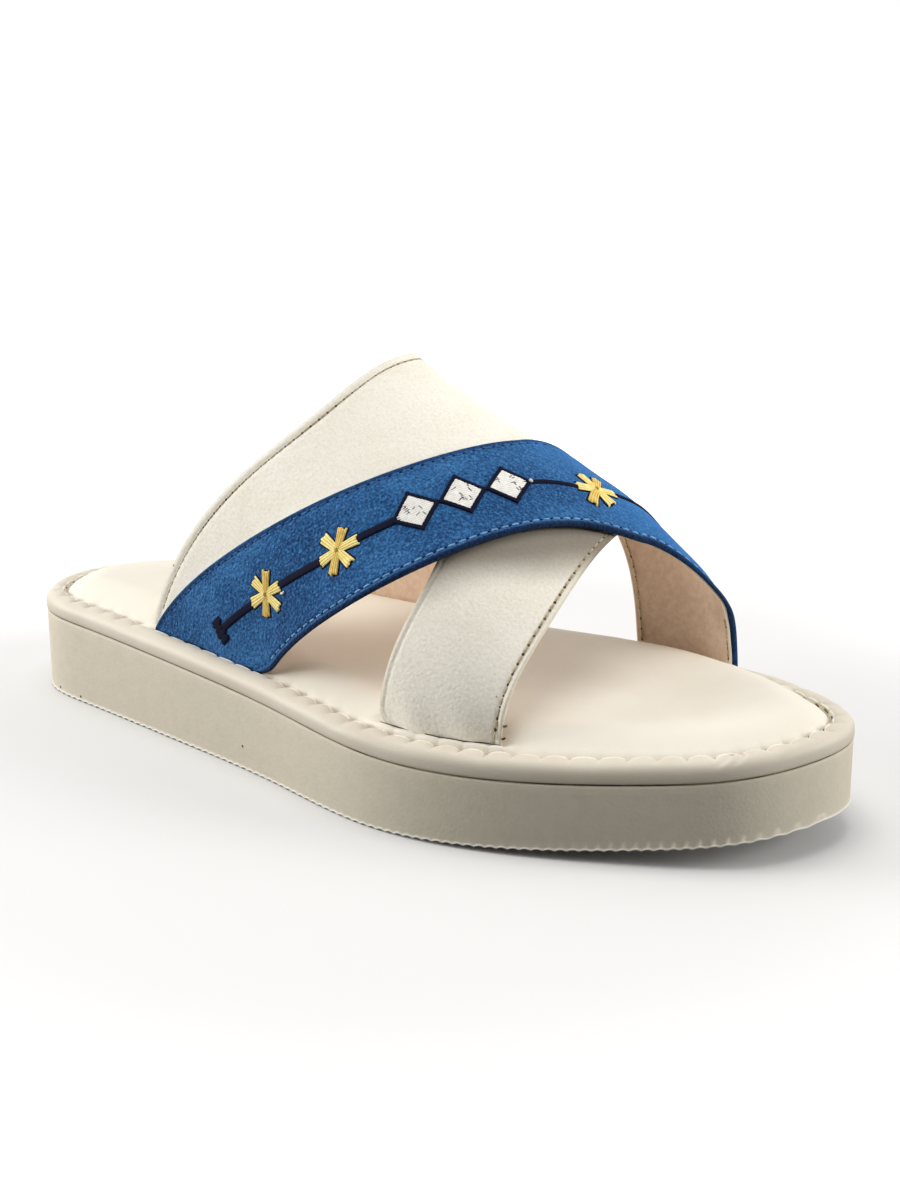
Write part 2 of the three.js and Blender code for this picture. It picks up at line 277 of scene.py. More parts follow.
def make_grain():
    """Fine relief of foam skin or leather: small cells under a finer haze."""
    group, given, end = new_group("fine_grain", [], ["Cell Scale", "Haze Scale"], ["Height"])
    place = object_place(group)
    cell = {"Vector": place, "Scale": given["Cell Scale"], "Smoothness": 0.6}
    cells = place_node(group, "ShaderNodeTexVoronoi", cell, feature="SMOOTH_F1")
    fog = {"Vector": place, "Scale": given["Haze Scale"], "Detail": 3.0}
    haze = place_node(group, "ShaderNodeTexNoise", fog)
    feed(group, end, {"Height": reckon(group, "ADD", cells.outputs["Distance"], haze.outputs["Fac"])})
    return group


def make_edge_shade():
    """Mask from 1 at an edge to 0 at a distance in from it."""
    group, given, end = new_group("edge_shade", [], ["Distance", "Start", "End"], ["Mask"])
    fading = {"Value": given["Distance"], "From Min": given["Start"], "From Max": given["End"]}
    fading.update({"To Min": 1.0, "To Max": 0.0})
    fade = place_node(group, "ShaderNodeMapRange", fading, interpolation_type="SMOOTHSTEP")
    feed(group, end, {"Mask": fade.outputs["Result"]})
    return group


handled_surface = make_handled()
fine_grain = make_grain()
edge_shade = make_edge_shade()


def add_bump(tree, shader, height, strength, distance):
    """Fine relief of a surface, with its depth in metres."""
    relief = {"Height": height, "Strength": strength, "Distance": distance}
    bump = place_node(tree, "ShaderNodeBump", relief)
    feed(tree, shader, {"Normal": bump.outputs["Normal"]})


def shade_edge(tree, colour, mark, shade, start, end, most):
    """Mixes a shade into a colour beside the edge that a mark measures from."""
    distance = place_node(tree, "ShaderNodeAttribute", {}, attribute_name=mark).outputs["Fac"]
    mask = place_group(tree, edge_shade, {"Distance": distance, "Start": start, "End": end})
    return blend(tree, reckon(tree, "MULTIPLY", mask.outputs["Mask"], most), colour, shade)


def handled_material(name, roughness, specular, surface, shades=(), grain=None):
    """Material of a handled surface, with shades beside its edges and a fine grain."""
    material, tree, shader = new_material(name, roughness, specular)
    colour = place_group(tree, handled_surface, surface).outputs["Color"]
    for shade in shades:
        colour = shade_edge(tree, colour, *shade)
    feed(tree, shader, {"Base Color": colour})
    if grain:
        cells, haze, strength, distance = grain
        relief = place_group(tree, fine_grain, {"Cell Scale": cells, "Haze Scale": haze})
        add_bump(tree, shader, relief.outputs["Height"], strength, distance)
    return material


foam_surface = {
    "Base": tint(219, 211, 192),
    "Cast": tint(206, 199, 180),
    "Cast Scale": 260.0,
    "Cast Amount": 0.4,
    "Speck": tint(84, 76, 56),
    "Speck Scale": 95.0,
    "Speck Size": 0.05,
    "Speck Share": 0.3,
}
foam_lip = ("rise", tint(250, 248, 240), 0.45, 0.7, 0.9)
foam = handled_material("sole_foam", 0.62, 0.35, foam_surface, [foam_lip], (900.0, 2400.0, 0.22, 0.0002))


def ribbed_bottom(x):
    """Height of the underside with its ribs."""
    return sole_bottom(x) + rib_depth * np.abs(np.sin(np.pi * x / rib_pitch))


sole_rings = [inset_ring(tread_inset, ribbed_bottom, share) for share in (0.06, 0.3, 0.6, 0.85, 1.0)]
for inset, rise in ((0.4, 0.02), (-lip_reach, 0.12), (-lip_reach, 0.46), (-0.02, 0.72)):
    sole_rings.append(inset_ring(inset, lambda x: ribbed_bottom(x) + rise))
for climb in np.linspace(0.06, 0.96, 9):
    sole_rings.append(inset_ring(0.0, lambda x: sole_bottom(x) + (sole_top(x) - sole_bottom(x)) * climb))
for angle in np.radians([25, 50, 75, 90]):
    drop = edge_round * (1 - np.sin(angle))
    sole_rings.append(inset_ring(edge_round * (1 - np.cos(angle)), lambda x: sole_top(x) - drop))
sole_rings += [inset_ring(edge_round, sole_top, share) for share in (0.85, 0.6, 0.3, 0.06)]
sole_points = np.concatenate([*sole_rings, [[0, 0, sole_bottom(0.0)]], [[0, 0, sole_top(0.0)]]])
sole_count = len(sole_rings) * outline_steps
sole_faces = ring_faces(len(sole_rings), outline_steps)
sole_rise = np.maximum(0, sole_points[:, 2] - ribbed_bottom(sole_points[:, 0]))
sole_faces += fan_faces(0, outline_steps, sole_count, True)
sole_faces += fan_faces(sole_count - outline_steps, outline_steps, sole_count + 1, False)
sole = make_piece("foam_sole", foam, "sole_foam", sole_points, sole_faces, {"rise": sole_rise})
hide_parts("sole")

# Cement line
# A thin brown line of cement shows in the groove where the wrapped rim sits on the foam, and stands also
# for the painted shadow in that seam. It runs all round, a little heavier along the outer side of the
# toe.
cement_width = 0.13
cement_inset = 0.36
cement_lift = 0.16


def uneven_dye(base, cast, scale, amount):
    """Surface without specks."""
    return {"Base": base, "Cast": cast, "Cast Scale": scale, "Cast Amount": amount, "Speck Share": 0.0}


# Brown of the cement and of the painted shadow in the seam.
cement_and_shadow_tone = uneven_dye(tint(150, 130, 94), tint(62, 50, 34), 70.0, 1.0)
cement_and_shadow = handled_material("cement_and_seam_shadow", 0.7, 0.5, cement_and_shadow_tone)
cement_heavy = 0.12 * smooth(0.45, 0.7, station_of(outline[:, 0])) * smooth(0, -20, outline[:, 1])
thick = cement_width + cement_heavy
cement_rings = []
for angle in np.radians(np.arange(0, 360, 45)):
    ring = inset_ring(cement_inset - thick * np.cos(angle), lambda x: sole_top(x) + cement_lift)
    ring[:, 2] += thick * np.sin(angle)
    cement_rings.append(ring)
cement_faces = ring_faces(len(cement_rings), outline_steps, closed=True)
make_piece("cement_and_seam_shadow", cement_and_shadow, "sole_foam", np.concatenate(cement_rings), cement_faces)

# Rim
# A strip of smooth cream leather, rolled over a soft core all round the footbed and sewn down along its
# inner edge. The stitches pull it into small puffs, and the leather wrinkles where it turns at the toe.
rim_height = 6.1
rim_width = 6.0
rim_crest = 4.1
rim_shoulder = 1.7
rim_inner_edge = 3.2
rim_gap = 0.3
puff_count = 82
puff_swell = 1.15
puff_reach = 0.8
outline_phase = outline_way / outline_length * puff_count * np.pi
puff = np.abs(np.sin(outline_phase)) ** 0.5
# The blue strap presses the puffs flat beside its outer foot.
blue_foot = smooth(-86, -78, outline[:, 0]) * smooth(-18, -26, outline[:, 0])
blue_foot *= smooth(0, -10, outline[:, 1])
puff_uneven = 1 + 0.22 * np.sin(outline_way * 0.115 + 1.3) + 0.16 * np.sin(outline_way * 0.31 + 0.4)
puff_uneven = puff_uneven * (1 - 0.85 * blue_foot)


def leather_material(name, base, cast):
    """Smooth dyed leather with a soft grain and a little dust."""
    surface = {
        "Base": base,
        "Cast": cast,
        "Cast Scale": 34.0,
        "Cast Amount": 0.55,
        "Speck": tint(120, 100, 72),
        "Speck Scale": 70.0,
        "Speck Size": 0.028,
        "Speck Share": 0.3,
    }
    return handled_material(name, 0.5, 0.4, surface, grain=(1500.0, 4000.0, 0.22, 0.00012))


rim_leather = leather_material("rim_leather", tint(218, 210, 194), tint(206, 195, 176))

# Wrinkles across the rim: way along the sole, side, width and depth.
rim_wrinkles = [
    (0.938, -1, 1.7, 0.45),
    (0.950, -1, 1.4, 0.30),
    (0.975, -1, 2.0, 0.25),
    (0.965, 1, 1.8, 0.45),
    (0.895, 1, 2.2, 0.30),
    (0.022, -1, 1.8, 0.40),
    (0.045, 1, 2.0, 0.35),
    (0.560, -1, 2.6, 0.25),
    (0.300, 1, 2.4, 0.22),
]


def rim_wrinkle(shift):
    """Depth of the wrinkles round the rim, each slanted by shift along the way."""
    depth = np.zeros(outline_steps)
    for station, side, width, deep in rim_wrinkles:
        x = (station - 0.5) * sole_length
        half = np.flatnonzero(np.sign(outline[:, 1]) == side)
        centre = half[np.argmin(np.abs(outline[half, 0] - x))]
        gap = outline_way - outline_way[centre] - shift
        gap = (gap + outline_length / 2) % outline_length - outline_length / 2
        depth += deep * (bell(gap, 0, width) - 0.55 * bell(gap, 1.5 * width, width))
    return depth


def rim_ring(inset, height):
    """Ring of the rim at a height over the sole's top edge."""
    return inset_ring(inset, lambda x: sole_top(x) + rim_gap + height)


# The strip's underside, as inset and height.
rim_base = ((rim_width - 0.6, 0.0), (1.1, 0.0), (0.5, 0.03), (0.12, 0.12), (-0.08, 0.36), (-0.16, 0.8))
rim_rings = [rim_ring(inset, height) for inset, height in rim_base]
rim_angles = [*range(0, 50, 10), *range(50, 130, 8), 130, 140, 150, 162, 176]
for angle in np.radians(rim_angles):
    rise = max(0.0, np.sin(angle)) ** 0.8
    if angle < np.pi / 2:
        inset = rim_crest - (rim_crest + 0.2) * np.cos(angle) ** 0.9
        height = rim_shoulder + (rim_height - rim_shoulder) * rise
    else:
        inset = rim_crest + (rim_width + 0.3 - rim_crest) * abs(np.cos(angle)) ** 0.9
        height = rim_inner_edge + (rim_height - rim_inner_edge) * rise
    inner = smooth(np.radians(48), np.radians(100), angle)
    wrinkle = rim_wrinkle(4.0 * (angle - 1.2)) * smooth(np.radians(5), np.radians(60), angle)
    inset = inset + inner * puff_reach * (puff - 0.6) * puff_uneven
    height = height + inner * puff_swell * (puff - 0.8) * puff_uneven - wrinkle
    wander = np.sin(outline_way * 0.21 + 2 * np.sin(outline_way * 0.033))
    height = height + 0.1 * smooth(0, 1, angle) * wander
    rim_rings.append(rim_ring(inset, height))
rim_faces = ring_faces(len(rim_rings), outline_steps, closed=True)
rim = make_piece("wrapped_rim", rim_leather, "rim_leather", np.concatenate(rim_rings), rim_faces)
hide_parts("rim")

# Straps' last
# The straps take their shape from the foot: an arch over the footbed at each station, leaning inwards.
# Each strap edge is a line on this form, from the strap's outer foot at 0 over the top to its inner at 1.
instep_height = 85.5
ridge_lean = 24.0
outer_fullness = 2.3
inner_fullness = 2.4
strap_inset = 8.3
foot_depth = 5.2

# Steps of way and of x that slopes of the last are taken over.
way_step = 0.002
x_step = 0.5

# Station, then height and lean as shares of the instep height and the ridge lean.
last_table = [
    (0.19, 1.50, 0.76),
    (0.35, 1.21, 0.96),
    (0.51, 0.93, 1.04),
    (0.67, 0.655, 1.13),
    (0.83, 0.21, 0.64),
]
last_height = spline([row[0] for row in last_table], [row[1] * instep_height for row in last_table])
last_lean = spline([row[0] for row in last_table], [row[2] * ridge_lean for row in last_table])
strap_loop = outline - outward * strap_inset
strap_turn = int(np.argmax(strap_loop[:, 0]))
outer_side = strap_loop[:strap_turn]
inner_side = strap_loop[strap_turn:][::-1]

# Way over the foot, then stations of the collar, blue rear, blue front, cream rear and cream front edges.
strap_table = [
    (0.00, 0.212, 0.224, 0.420, 0.586, 0.726),
    (0.08, 0.278, 0.340, 0.507, 0.597, 0.728),
    (0.22, 0.381, 0.478, 0.612, 0.611, 0.731),
    (0.42, 0.436, 0.573, 0.697, 0.552, 0.719),
    (0.62, 0.428, 0.614, 0.782, 0.460, 0.684),
    (0.82, 0.350, 0.672, 0.808, 0.354, 0.556),
    (1.00, 0.254, 0.692, 0.813, 0.262, 0.450),
]


def strap_edge(column):
    """Edge of a strap: x in millimetres at each way over the foot."""
    stations = spline([row[0] for row in strap_table], [row[column] for row in strap_table])
    return lambda over: (stations(np.clip(over, 0, 1)) - 0.5) * sole_length


collar, blue_rear, blue_front, cream_rear, cream_front = [strap_edge(column) for column in range(1, 6)]


def last_point(x, over):
    """Point of the last at x, over the foot by 0 to 1, and down into the footbed beyond those."""
    x, over = np.broadcast_arrays(np.asarray(x, float), np.asarray(over, float))
    way = np.clip(over, 0, 1)
    drop = np.maximum(0, np.maximum(-over, over - 1))
    low = np.interp(x, outer_side[:, 0], outer_side[:, 1])
    high = np.interp(x, inner_side[:, 0], inner_side[:, 1])
    across = np.cos(np.pi * way)
    up = np.sin(np.pi * way)
    power = 2 / (outer_fullness + (inner_fullness - outer_fullness) * way)
    bow = np.sign(across) * np.abs(across) ** power
    y = (low + high) / 2 - (high - low) / 2 * bow + last_lean(station_of(x)) * up * up
    z = sole_top(x) + rim_height + last_height(station_of(x)) * np.abs(up) ** power - drop * foot_depth
    return np.stack([x, y, z], axis=-1)


def last_normal(x, over):
    """Outward direction of the last, which is level where a strap goes down into the footbed."""
    way = np.clip(over, 0.004, 0.996)
    across = last_point(x, way + way_step) - last_point(x, way - way_step)
    foot = np.where(np.asarray(over) <= 0, 1.0, np.where(np.asarray(over) >= 1, -1.0, 0.0))
    across = np.where(foot[..., None] == 0, across, foot[..., None] * np.array([0, 0, 1.0]))
    along = last_point(x + x_step, way) - last_point(x - x_step, way)
    normal = np.cross(along, across)
    return normal / np.linalg.norm(normal, axis=-1, keepdims=True)


def shell_point(x, over, out):
    """Point at a height out from the last."""
    x, over, out = np.broadcast_arrays(*[np.asarray(value, float) for value in (x, over, out)])
    return last_point(x, over) + last_normal(x, over) * out[..., None]


# Footbed
# A padded board under smooth cream leather, sewn to the rim. It crowns a few millimetres and rises under
# the arch. It puffs between the stitches, and dips where each strap goes down into its slot.
footbed_crown = 5.0
footbed_edge = 4.6
crown_reach = 14.0
arch_rise = 5.5
footbed_leather = leather_material("footbed_leather", tint(236, 230, 217), tint(229, 220, 203))


def inset_of(x, y):
    """Distance in from the outline."""
    flat = np.column_stack([np.ravel(x), np.ravel(y)])
    nearest = [
        np.sqrt(((flat[i : i + 3000, None] - outline[None, ::2]) ** 2).sum(axis=2).min(axis=1))
        for i in range(0, len(flat), 3000)
    ]
    return np.concatenate(nearest).reshape(np.shape(x))


def foot_mask(x, rear, front):
    """1 along the foot of a strap, fading out past its rear and front edges."""
    return smooth(rear - 3, rear + 3, x) * smooth(front + 3, front - 3, x)


def footbed_top(x, y, way_puff):
    """Height of the footbed, with its stitch puffs and its dips at the strap slots."""
    inset = inset_of(x, y) - rim_width - rim_gap
    crown = 1 - (1 - np.clip(inset / crown_reach, 0, 1)) ** 2
    arch = bell(station_of(x), 0.5, 0.3) * smooth(0, ball_width / 3, y)
    arch_height = arch_rise * arch * smooth(0, crown_reach / 2, inset)
    pillow = (rim_height - footbed_edge + footbed_crown) * crown + arch_height
    pull = bell(inset, 0, 1.1) * (0.35 + 0.8 * (1 - way_puff))
    swell = 0.25 * bell(inset, 1.6, 1.3) * way_puff
    strip = foot_mask(x, cream_rear(0.0) - 2, cream_front(0.0) + 2) * (y < 0)
    swell = swell + 1.15 * strip * np.exp(-(((inset - 1.35) / 0.95) ** 4))
    blue_and_collar = foot_mask(x, collar(0.0), blue_front(0.0))
    outer_foot = np.maximum(blue_and_collar, foot_mask(x, cream_rear(0.0), cream_front(0.0)))
    rear_piece = foot_mask(x, collar(1.0), cream_front(1.0))
    inner_foot = np.maximum(rear_piece, foot_mask(x, blue_rear(1.0), blue_front(1.0)))
    foot = np.where(y < 0, outer_foot, inner_foot)
    dip = 1.5 * foot * bell(inset, 4.2, 3.2) * smooth(1.9, 2.6, inset)
    lie = 0.25 * np.sin(x * 0.05 + 0.7) * np.sin(y * 0.07 + 0.3) * smooth(4, 20, inset)
    return sole_top(x) + footbed_edge + pillow + swell - pull - dip + lie


footbed_rings = [rim_ring(rim_width - 0.2, 0.0)]
footbed_rings.append(inset_ring(rim_width - 0.4, lambda x: sole_top(x) + footbed_edge - 1.2))
footbed_insets = [0, 0.4, 0.8, 1.2, 1.7, 2.3, 3, 3.8, 4.8, 6, 7.5]
footbed_shares = [0.98, 0.96, 0.94, 0.91, 0.88, 0.84, 0.79, 0.72, 0.64, 0.55]
footbed_shares += [0.45, 0.34, 0.23, 0.12, 0.03]
footbed_places = [(inset, 1.0) for inset in footbed_insets]
footbed_places += [(footbed_insets[-1], share) for share in footbed_shares]
for inset, share in footbed_places:
    ring = inset_ring(rim_width + rim_gap + inset, sole_top, share)
    ring[:, 2] = footbed_top(ring[:, 0], ring[:, 1], puff)
    footbed_rings.append(ring)
footbed_points = np.concatenate([*footbed_rings, [footbed_rings[-1].mean(axis=0)]])
footbed_count = len(footbed_rings) * outline_steps
footbed_faces = ring_faces(len(footbed_rings), outline_steps)
footbed_faces += fan_faces(footbed_count - outline_steps, outline_steps, footbed_count, False)
footbed = make_piece("footbed", footbed_leather, "insole_leather", footbed_points, footbed_faces)
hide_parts("insole")

# Rim sewing
# Cream waxed thread joins the rim to the footbed. One arched stitch lies over each puff and dives into
# the valley beside it, where a short dark stroke is painted shadow at the end of the puff.
thread_width = 0.65
thread_thick = 0.5
stroke_width = 0.42
thread_inset = 5.45
thread_height = 5.95
stroke_inset = 6.05
stroke_height = 5.5
upright = np.array([0, 0, 1.0])


def thread_material(name, base, cast, roughness=0.75, strand_shade=0.0):
    """Spun thread: slightly uneven dye, and shade between strands where a piece marks them."""
    deep = (*[channel * 0.34 for channel in cast[:3]], 1.0)
    strands = [("strand", deep, 0.05, 0.6, strand_shade)]
    dye = uneven_dye(base, cast, 700.0, 0.8)
    return handled_material(name, roughness, 0.12, dye, strands, (2600.0, 6000.0, 0.4, 0.0001))


def tubes(runs, width, thickness, sides=8):
    """Round-ended tubes along runs of path and surface normal: points and faces."""
    points = []
    faces = []
    for path, normal in runs:
        along = np.gradient(path, axis=0)
        along /= np.linalg.norm(along, axis=1, keepdims=True)
        across = np.cross(normal, along)
        across /= np.linalg.norm(across, axis=1, keepdims=True)
        up = np.cross(along, across)
        place = np.linspace(-1, 1, len(path))
        girth = np.sqrt(np.clip(1 - np.abs(place) ** 5, 0.02, 1))[:, None, None]
        angle = np.linspace(0, 2 * np.pi, sides, endpoint=False)[None, :, None]
        wide = across[:, None] * np.cos(angle) * width / 2
        high = up[:, None] * np.sin(angle) * thickness / 2
        first = sum(len(part) for part in points)
        points.append((path[:, None] + girth * (wide + high)).reshape(-1, 3))
        faces += [[first + corner for corner in quad] for quad in ring_faces(len(path), sides)]
        faces.append([first + side for side in reversed(range(sides))])
        faces.append([first + (len(path) - 1) * sides + side for side in range(sides)])
    return np.concatenate(points), faces


cream_thread = thread_material("cream_thread", tint(250, 246, 234), tint(232, 224, 204))
# Dark brown marks of painted shade: the shadow at each puff's end on the rim, and in the needle holes of
# the cream straps and linings.
stitch_shade_tone = uneven_dye(tint(122, 102, 74), tint(52, 42, 30), 300.0, 0.9)
stitch_hole = handled_material("stitch_holes", 0.85, 0.1, stitch_shade_tone)


def round_way(way, inset, height):
    """Points at a way round the outline, drawn in by inset, at a height above the sole's top."""
    way = np.asarray(way) % outline_length
    lines = np.hstack([outline, outward])
    closed = np.append(outline_way, outline_length)
    x, y, nx, ny = [np.interp(way, closed, line) for line in np.vstack([lines, lines[:1]]).T]
    x = x - nx * inset
    return np.column_stack([x, y - ny * inset, sole_top(x) + height])


rim_pitch = outline_length / puff_count
rim_threads = []
rim_puff_shadows = []
for number in range(puff_count):
    start = number * rim_pitch
    share = np.linspace(0.05, 0.95, 13)
    way = start + share * rim_pitch
    uneven = np.interp(way, outline_way, puff_uneven)
    arch = np.sin(np.pi * share) ** 0.5
    inset = thread_inset + puff_reach * (arch - 0.6) * uneven
    height = thread_height + puff_swell * (arch - 0.8) * uneven
    rim_threads.append((round_way(way, inset, height), upright))
    share = np.linspace(-0.03, 0.24 + 0.08 * np.sin(number * 1.9), 9)
    way = start + share * rim_pitch
    arch = np.abs(np.sin(np.pi * share)) ** 0.5
    inset = stroke_inset + puff_reach * (arch - 0.6) * uneven[0]
    height = stroke_height + puff_swell * (arch - 0.8) * uneven[0]
    rim_puff_shadows.append((round_way(way, inset, height), upright))
make_piece("rim_thread", cream_thread, "rim_leather", *tubes(rim_threads, thread_width, thread_thick))
make_piece("rim_puff_end_shadows", stitch_hole, "rim_leather", *tubes(rim_puff_shadows, stroke_width, stroke_width))

# Cream straps
# Two cut pieces of cream suede on beige leather lining, with turned and topstitched edges. The rear one
# covers the instep and runs down to the inner side of the heel. The front one comes up from the outer
# side of the ball and passes under the blue strap.
leather_thick = 1.15
strap_thick = 2.0
collar_row = 3.0
panel_row = 3.0
leg_row = 2.1
edge_columns = np.array([0, 0.06, 0.18, 0.36, 0.6, 0.95, 1.4, 1.9, 2.4, 2.9, 3.4, 4.0, 4.8])


def even_ways(rear, front, low, high, step):
    """Ways over the foot, about evenly spaced on the leather, with the buried ends added."""
    fine = np.linspace(max(low, 0), min(high, 1), 1500)
    reach = run_of(last_point((rear(fine) + front(fine)) / 2, fine))
    ways = np.interp(np.linspace(0, reach[-1], int(reach[-1] / step)), reach, fine)
    below = [low, low / 2] if low < 0 else []
    beyond = [1 + (high - 1) / 2, high] if high > 1 else []
    return np.concatenate([below, ways, beyond])


def edge_slant(edge, ways):
    """How far apart a line of constant way and the edge are, in true mm per mm of x."""
    inside = np.clip(ways, 0.003, 0.997)
    ahead = inside + way_step
    behind = inside - way_step
    run = last_point(edge(ahead), ahead) - last_point(edge(behind), behind)
    run /= np.linalg.norm(run, axis=1, keepdims=True)
    along = last_point(edge(inside) + x_step, inside) - last_point(edge(inside) - x_step, inside)
    return np.clip(np.linalg.norm(np.cross(along, run), axis=1), 0.35, 1.5)


def strap_sheet(rear, front, ways, inside, outside, middle=34, relief=None, sink=None):
    """Leather sheet on the last with rounded edges: points, faces and distances from its edges."""
    back = rear(ways)[:, None]
    width = front(ways)[:, None] - back
    rear_slant = edge_slant(rear, ways)[:, None]
    front_slant = edge_slant(front, ways)[:, None]
    margin = edge_columns[None, :]
    scale = np.minimum(1, 0.42 * width / (edge_columns[-1] / np.minimum(rear_slant, front_slant)))
    from_rear = margin * scale / rear_slant
    from_front = width - margin[:, ::-1] * scale / front_slant
    inner = np.linspace(0, 1, middle + 2)[None, 1:-1]
    between = from_rear[:, -1:] + (from_front[:, :1] - from_rear[:, -1:]) * inner
    reach = np.concatenate([from_rear, between, from_front], axis=1)
    x = back + reach
    over = np.broadcast_to(ways[:, None], x.shape)
    to_rear = reach * rear_slant
    to_front = (width - reach) * front_slant
    edge = np.minimum(to_rear, to_front)
    half = (outside - inside) / 2
    bow = np.sqrt(np.clip(1 - (1 - np.clip(edge / half, 0, 1)) ** 2, 0, 1))
    centre = (inside + outside) / 2 - (sink(x, over) if sink else 0)
    extra = relief(x, over, to_rear, to_front) if relief else 0
    top = shell_point(x, over, centre + half * bow + extra * bow)
    base = shell_point(x, over, centre - half * bow + 0.6 * extra * bow)
    rings = np.concatenate([top, base[:, -2:0:-1]], axis=1)
    rows, count = rings.shape[:2]
    faces = [quad[::-1] for quad in ring_faces(rows, count)]
    faces.append(list(range(count)))
    faces.append([(rows - 1) * count + i for i in reversed(range(count))])
    marks = {
        "to_rear": np.concatenate([to_rear, to_rear[:, -2:0:-1]], axis=1),
        "to_front": np.concatenate([to_front, to_front[:, -2:0:-1]], axis=1),
    }
    return rings.reshape(-1, 3), faces, marks


def make_nap():
    """Brushed nap of suede or nubuck: fine fibres lying light or dark, over strokes of the hand."""
    numbers = ["Grain Scale", "Grain Amount", "Pebble Scale", "Stroke Scale", "Stroke Amount"]
    colours = ["Base", "Light", "Dark"]
    group, given, end = new_group("brushed_nap", colours, numbers, ["Color", "Height"])
    place = object_place(group)
    noise = {"Vector": place, "Detail": 3.0}
    fibre = {"Scale": given["Grain Scale"], "Roughness": 0.65, "Distortion": 0.5}
    grains = place_node(group, "ShaderNodeTexNoise", {**noise, **fibre})
    stroke = {"Scale": given["Stroke Scale"], "Roughness": 0.5, "Distortion": 1.0}
    strokes = place_node(group, "ShaderNodeTexNoise", {**noise, **stroke})
    cell = {"Vector": place, "Scale": given["Pebble Scale"], "Smoothness": 0.5}
    pebbles = place_node(group, "ShaderNodeTexVoronoi", cell, feature="SMOOTH_F1")
    colour = given["Base"]
    layers = [(strokes, "Stroke Amount", 0.35, 0.65), (grains, "Grain Amount", 0.36, 0.64)]
    for source, amount, low, high in layers:
        for shade, last in (("Light", high), ("Dark", low)):
            spread = {"Value": source.outputs["Fac"], "From Min": 0.5, "From Max": last}
            share = place_node(group, "ShaderNodeMapRange", spread).outputs["Result"]
            colour = blend(group, reckon(group, "MULTIPLY", share, given[amount]), colour, given[shade])
    relief = reckon(group, "SUBTRACT", grains.outputs["Fac"], pebbles.outputs["Distance"])
    feed(group, end, {"Color": colour, "Height": relief})
    return group


brushed_nap = make_nap()


def napped_material(name, gloss, nap, shades, strength, distance, dust=None):
    """Material with a brushed nap, shades beside its edges, and dust where it has some."""
    material, tree, shader = new_material(name, *gloss)
    brushed = place_group(tree, brushed_nap, nap)
    colour = brushed.outputs["Color"]
    for shade in shades:
        colour = shade_edge(tree, colour, *shade)
    if dust:
        colour = place_group(tree, handled_surface, {"Base": colour, **dust}).outputs["Color"]
    feed(tree, shader, {"Base Color": colour})
    add_bump(tree, shader, brushed.outputs["Height"], strength, distance)
    return material


suede_nap = {
    "Base": tint(240, 235, 222),
    "Light": tint(249, 246, 237),
    "Dark": tint(220, 212, 194),
    "Grain Scale": 1300.0,
    "Grain Amount": 0.4,
    "Pebble Scale": 800.0,
    "Stroke Scale": 30.0,
    "Stroke Amount": 0.28,
}
# The turned edges are a little soiled, and beside the blue strap the front piece has a painted shadow of
# the strap, darkest near its edge.
suede_shades = [
    ("to_rear", tint(204, 192, 166), 0.3, 1.1, 0.6),
    ("to_front", tint(204, 192, 166), 0.3, 1.1, 0.6),
    # Painted shadow of the blue strap on the front piece: full within 5 mm of the strap's edge, gone at
    # 22 mm.
    ("to_blue", tint(96, 84, 68), 5.0, 22.0, 0.82),
]
suede_dust = {"Cast Amount": 0.0, "Speck": tint(128, 112, 84), "Speck Scale": 85.0}
suede_dust.update({"Speck Size": 0.035, "Speck Share": 0.3})
suede_gloss = (0.9, 0.12, 0.12)
suede = napped_material("cream_suede", suede_gloss, suede_nap, suede_shades, 0.45, 0.00022, suede_dust)

lining_nap = {
    "Base": tint(218, 192, 168),
    "Light": tint(232, 212, 192),
    "Dark": tint(192, 162, 136),
    "Grain Scale": 500.0,
    "Grain Amount": 0.3,
    "Pebble Scale": 1100.0,
    "Stroke Scale": 45.0,
    "Stroke Amount": 0.4,
}
lining_shades = [
    ("to_front", tint(240, 226, 208), 0.5, 0.9, 0.9),
    ("to_rear", tint(240, 226, 208), 0.3, 0.6, 0.7),
]
lining = napped_material("beige_lining", (0.6, 0.3), lining_nap, lining_shades, 0.3, 0.0002)


def round_corner(over, x, radius):
    """Shift of an edge near its foot, for a corner cut round with this radius."""
    rise = last_height(station_of(x)) * np.sin(np.pi * np.clip(over, 0, 1)) ** 0.87
    short = 1 - np.clip(rise / radius, 0, 1)
    return radius * (1 - np.sqrt(1 - short * short)) * (over < 0.5)


def panel_front(over):
    """Front edge of the rear piece: under the blue strap on the outer side, free on the inner side."""
    covered = blue_front(over) - 3.5
    free = cream_front(over)
    share = np.clip(0.5 + (free - covered) / 6, 0, 1)
    return free + (covered - free) * share - 3 * share * (1 - share)


def leg_rear(over):
    return cream_rear(over) + round_corner(over, cream_rear(over), 7.0)


def panel_relief(x, over, to_rear, to_front):
    """Turned collar, its stitch valley, and slow waves where the suede was pulled over the instep."""
    fold = 0.22 * bell(to_rear, 1.3, 0.9) - 0.3 * bell(to_rear, collar_row, 0.45)
    front = 0.2 * bell(to_front, 1.3, 0.9) - 0.3 * bell(to_front, panel_row, 0.45)
    waves = 0.16 * np.sin(x * 0.07 + over * 9) * np.sin(over * 17 + 0.6)
    return fold + front * smooth(0.6, 0.7, over) + waves


def leg_sink(x, over):
    """The front piece lies deeper where the blue strap and the rear piece cross it."""
    return 1.1 * smooth(-0.5, 5.0, blue_front(over) - x)


def leg_relief(x, over, to_rear, to_front):
    """Rolled edges, stitch valley, and a few soft wrinkles just above the footbed."""
    roll = 0.16 * bell(to_rear, 0.9, 0.7) - 0.26 * bell(to_rear, 1.9, 0.35)
    front = 0.16 * bell(to_front, 0.7, 0.5) - 0.36 * bell(to_front, leg_row, 0.45)
    low = bell(np.clip(over, 0, 1), 0, 0.05)
    wrinkles = 0.4 * low * np.sin(x * 0.36 + over * 40) + 0.35 * low * np.sin(x * 0.17 + 1.0)
    return roll + front + wrinkles + 0.18 * np.sin(x * 0.12 + over * 14)
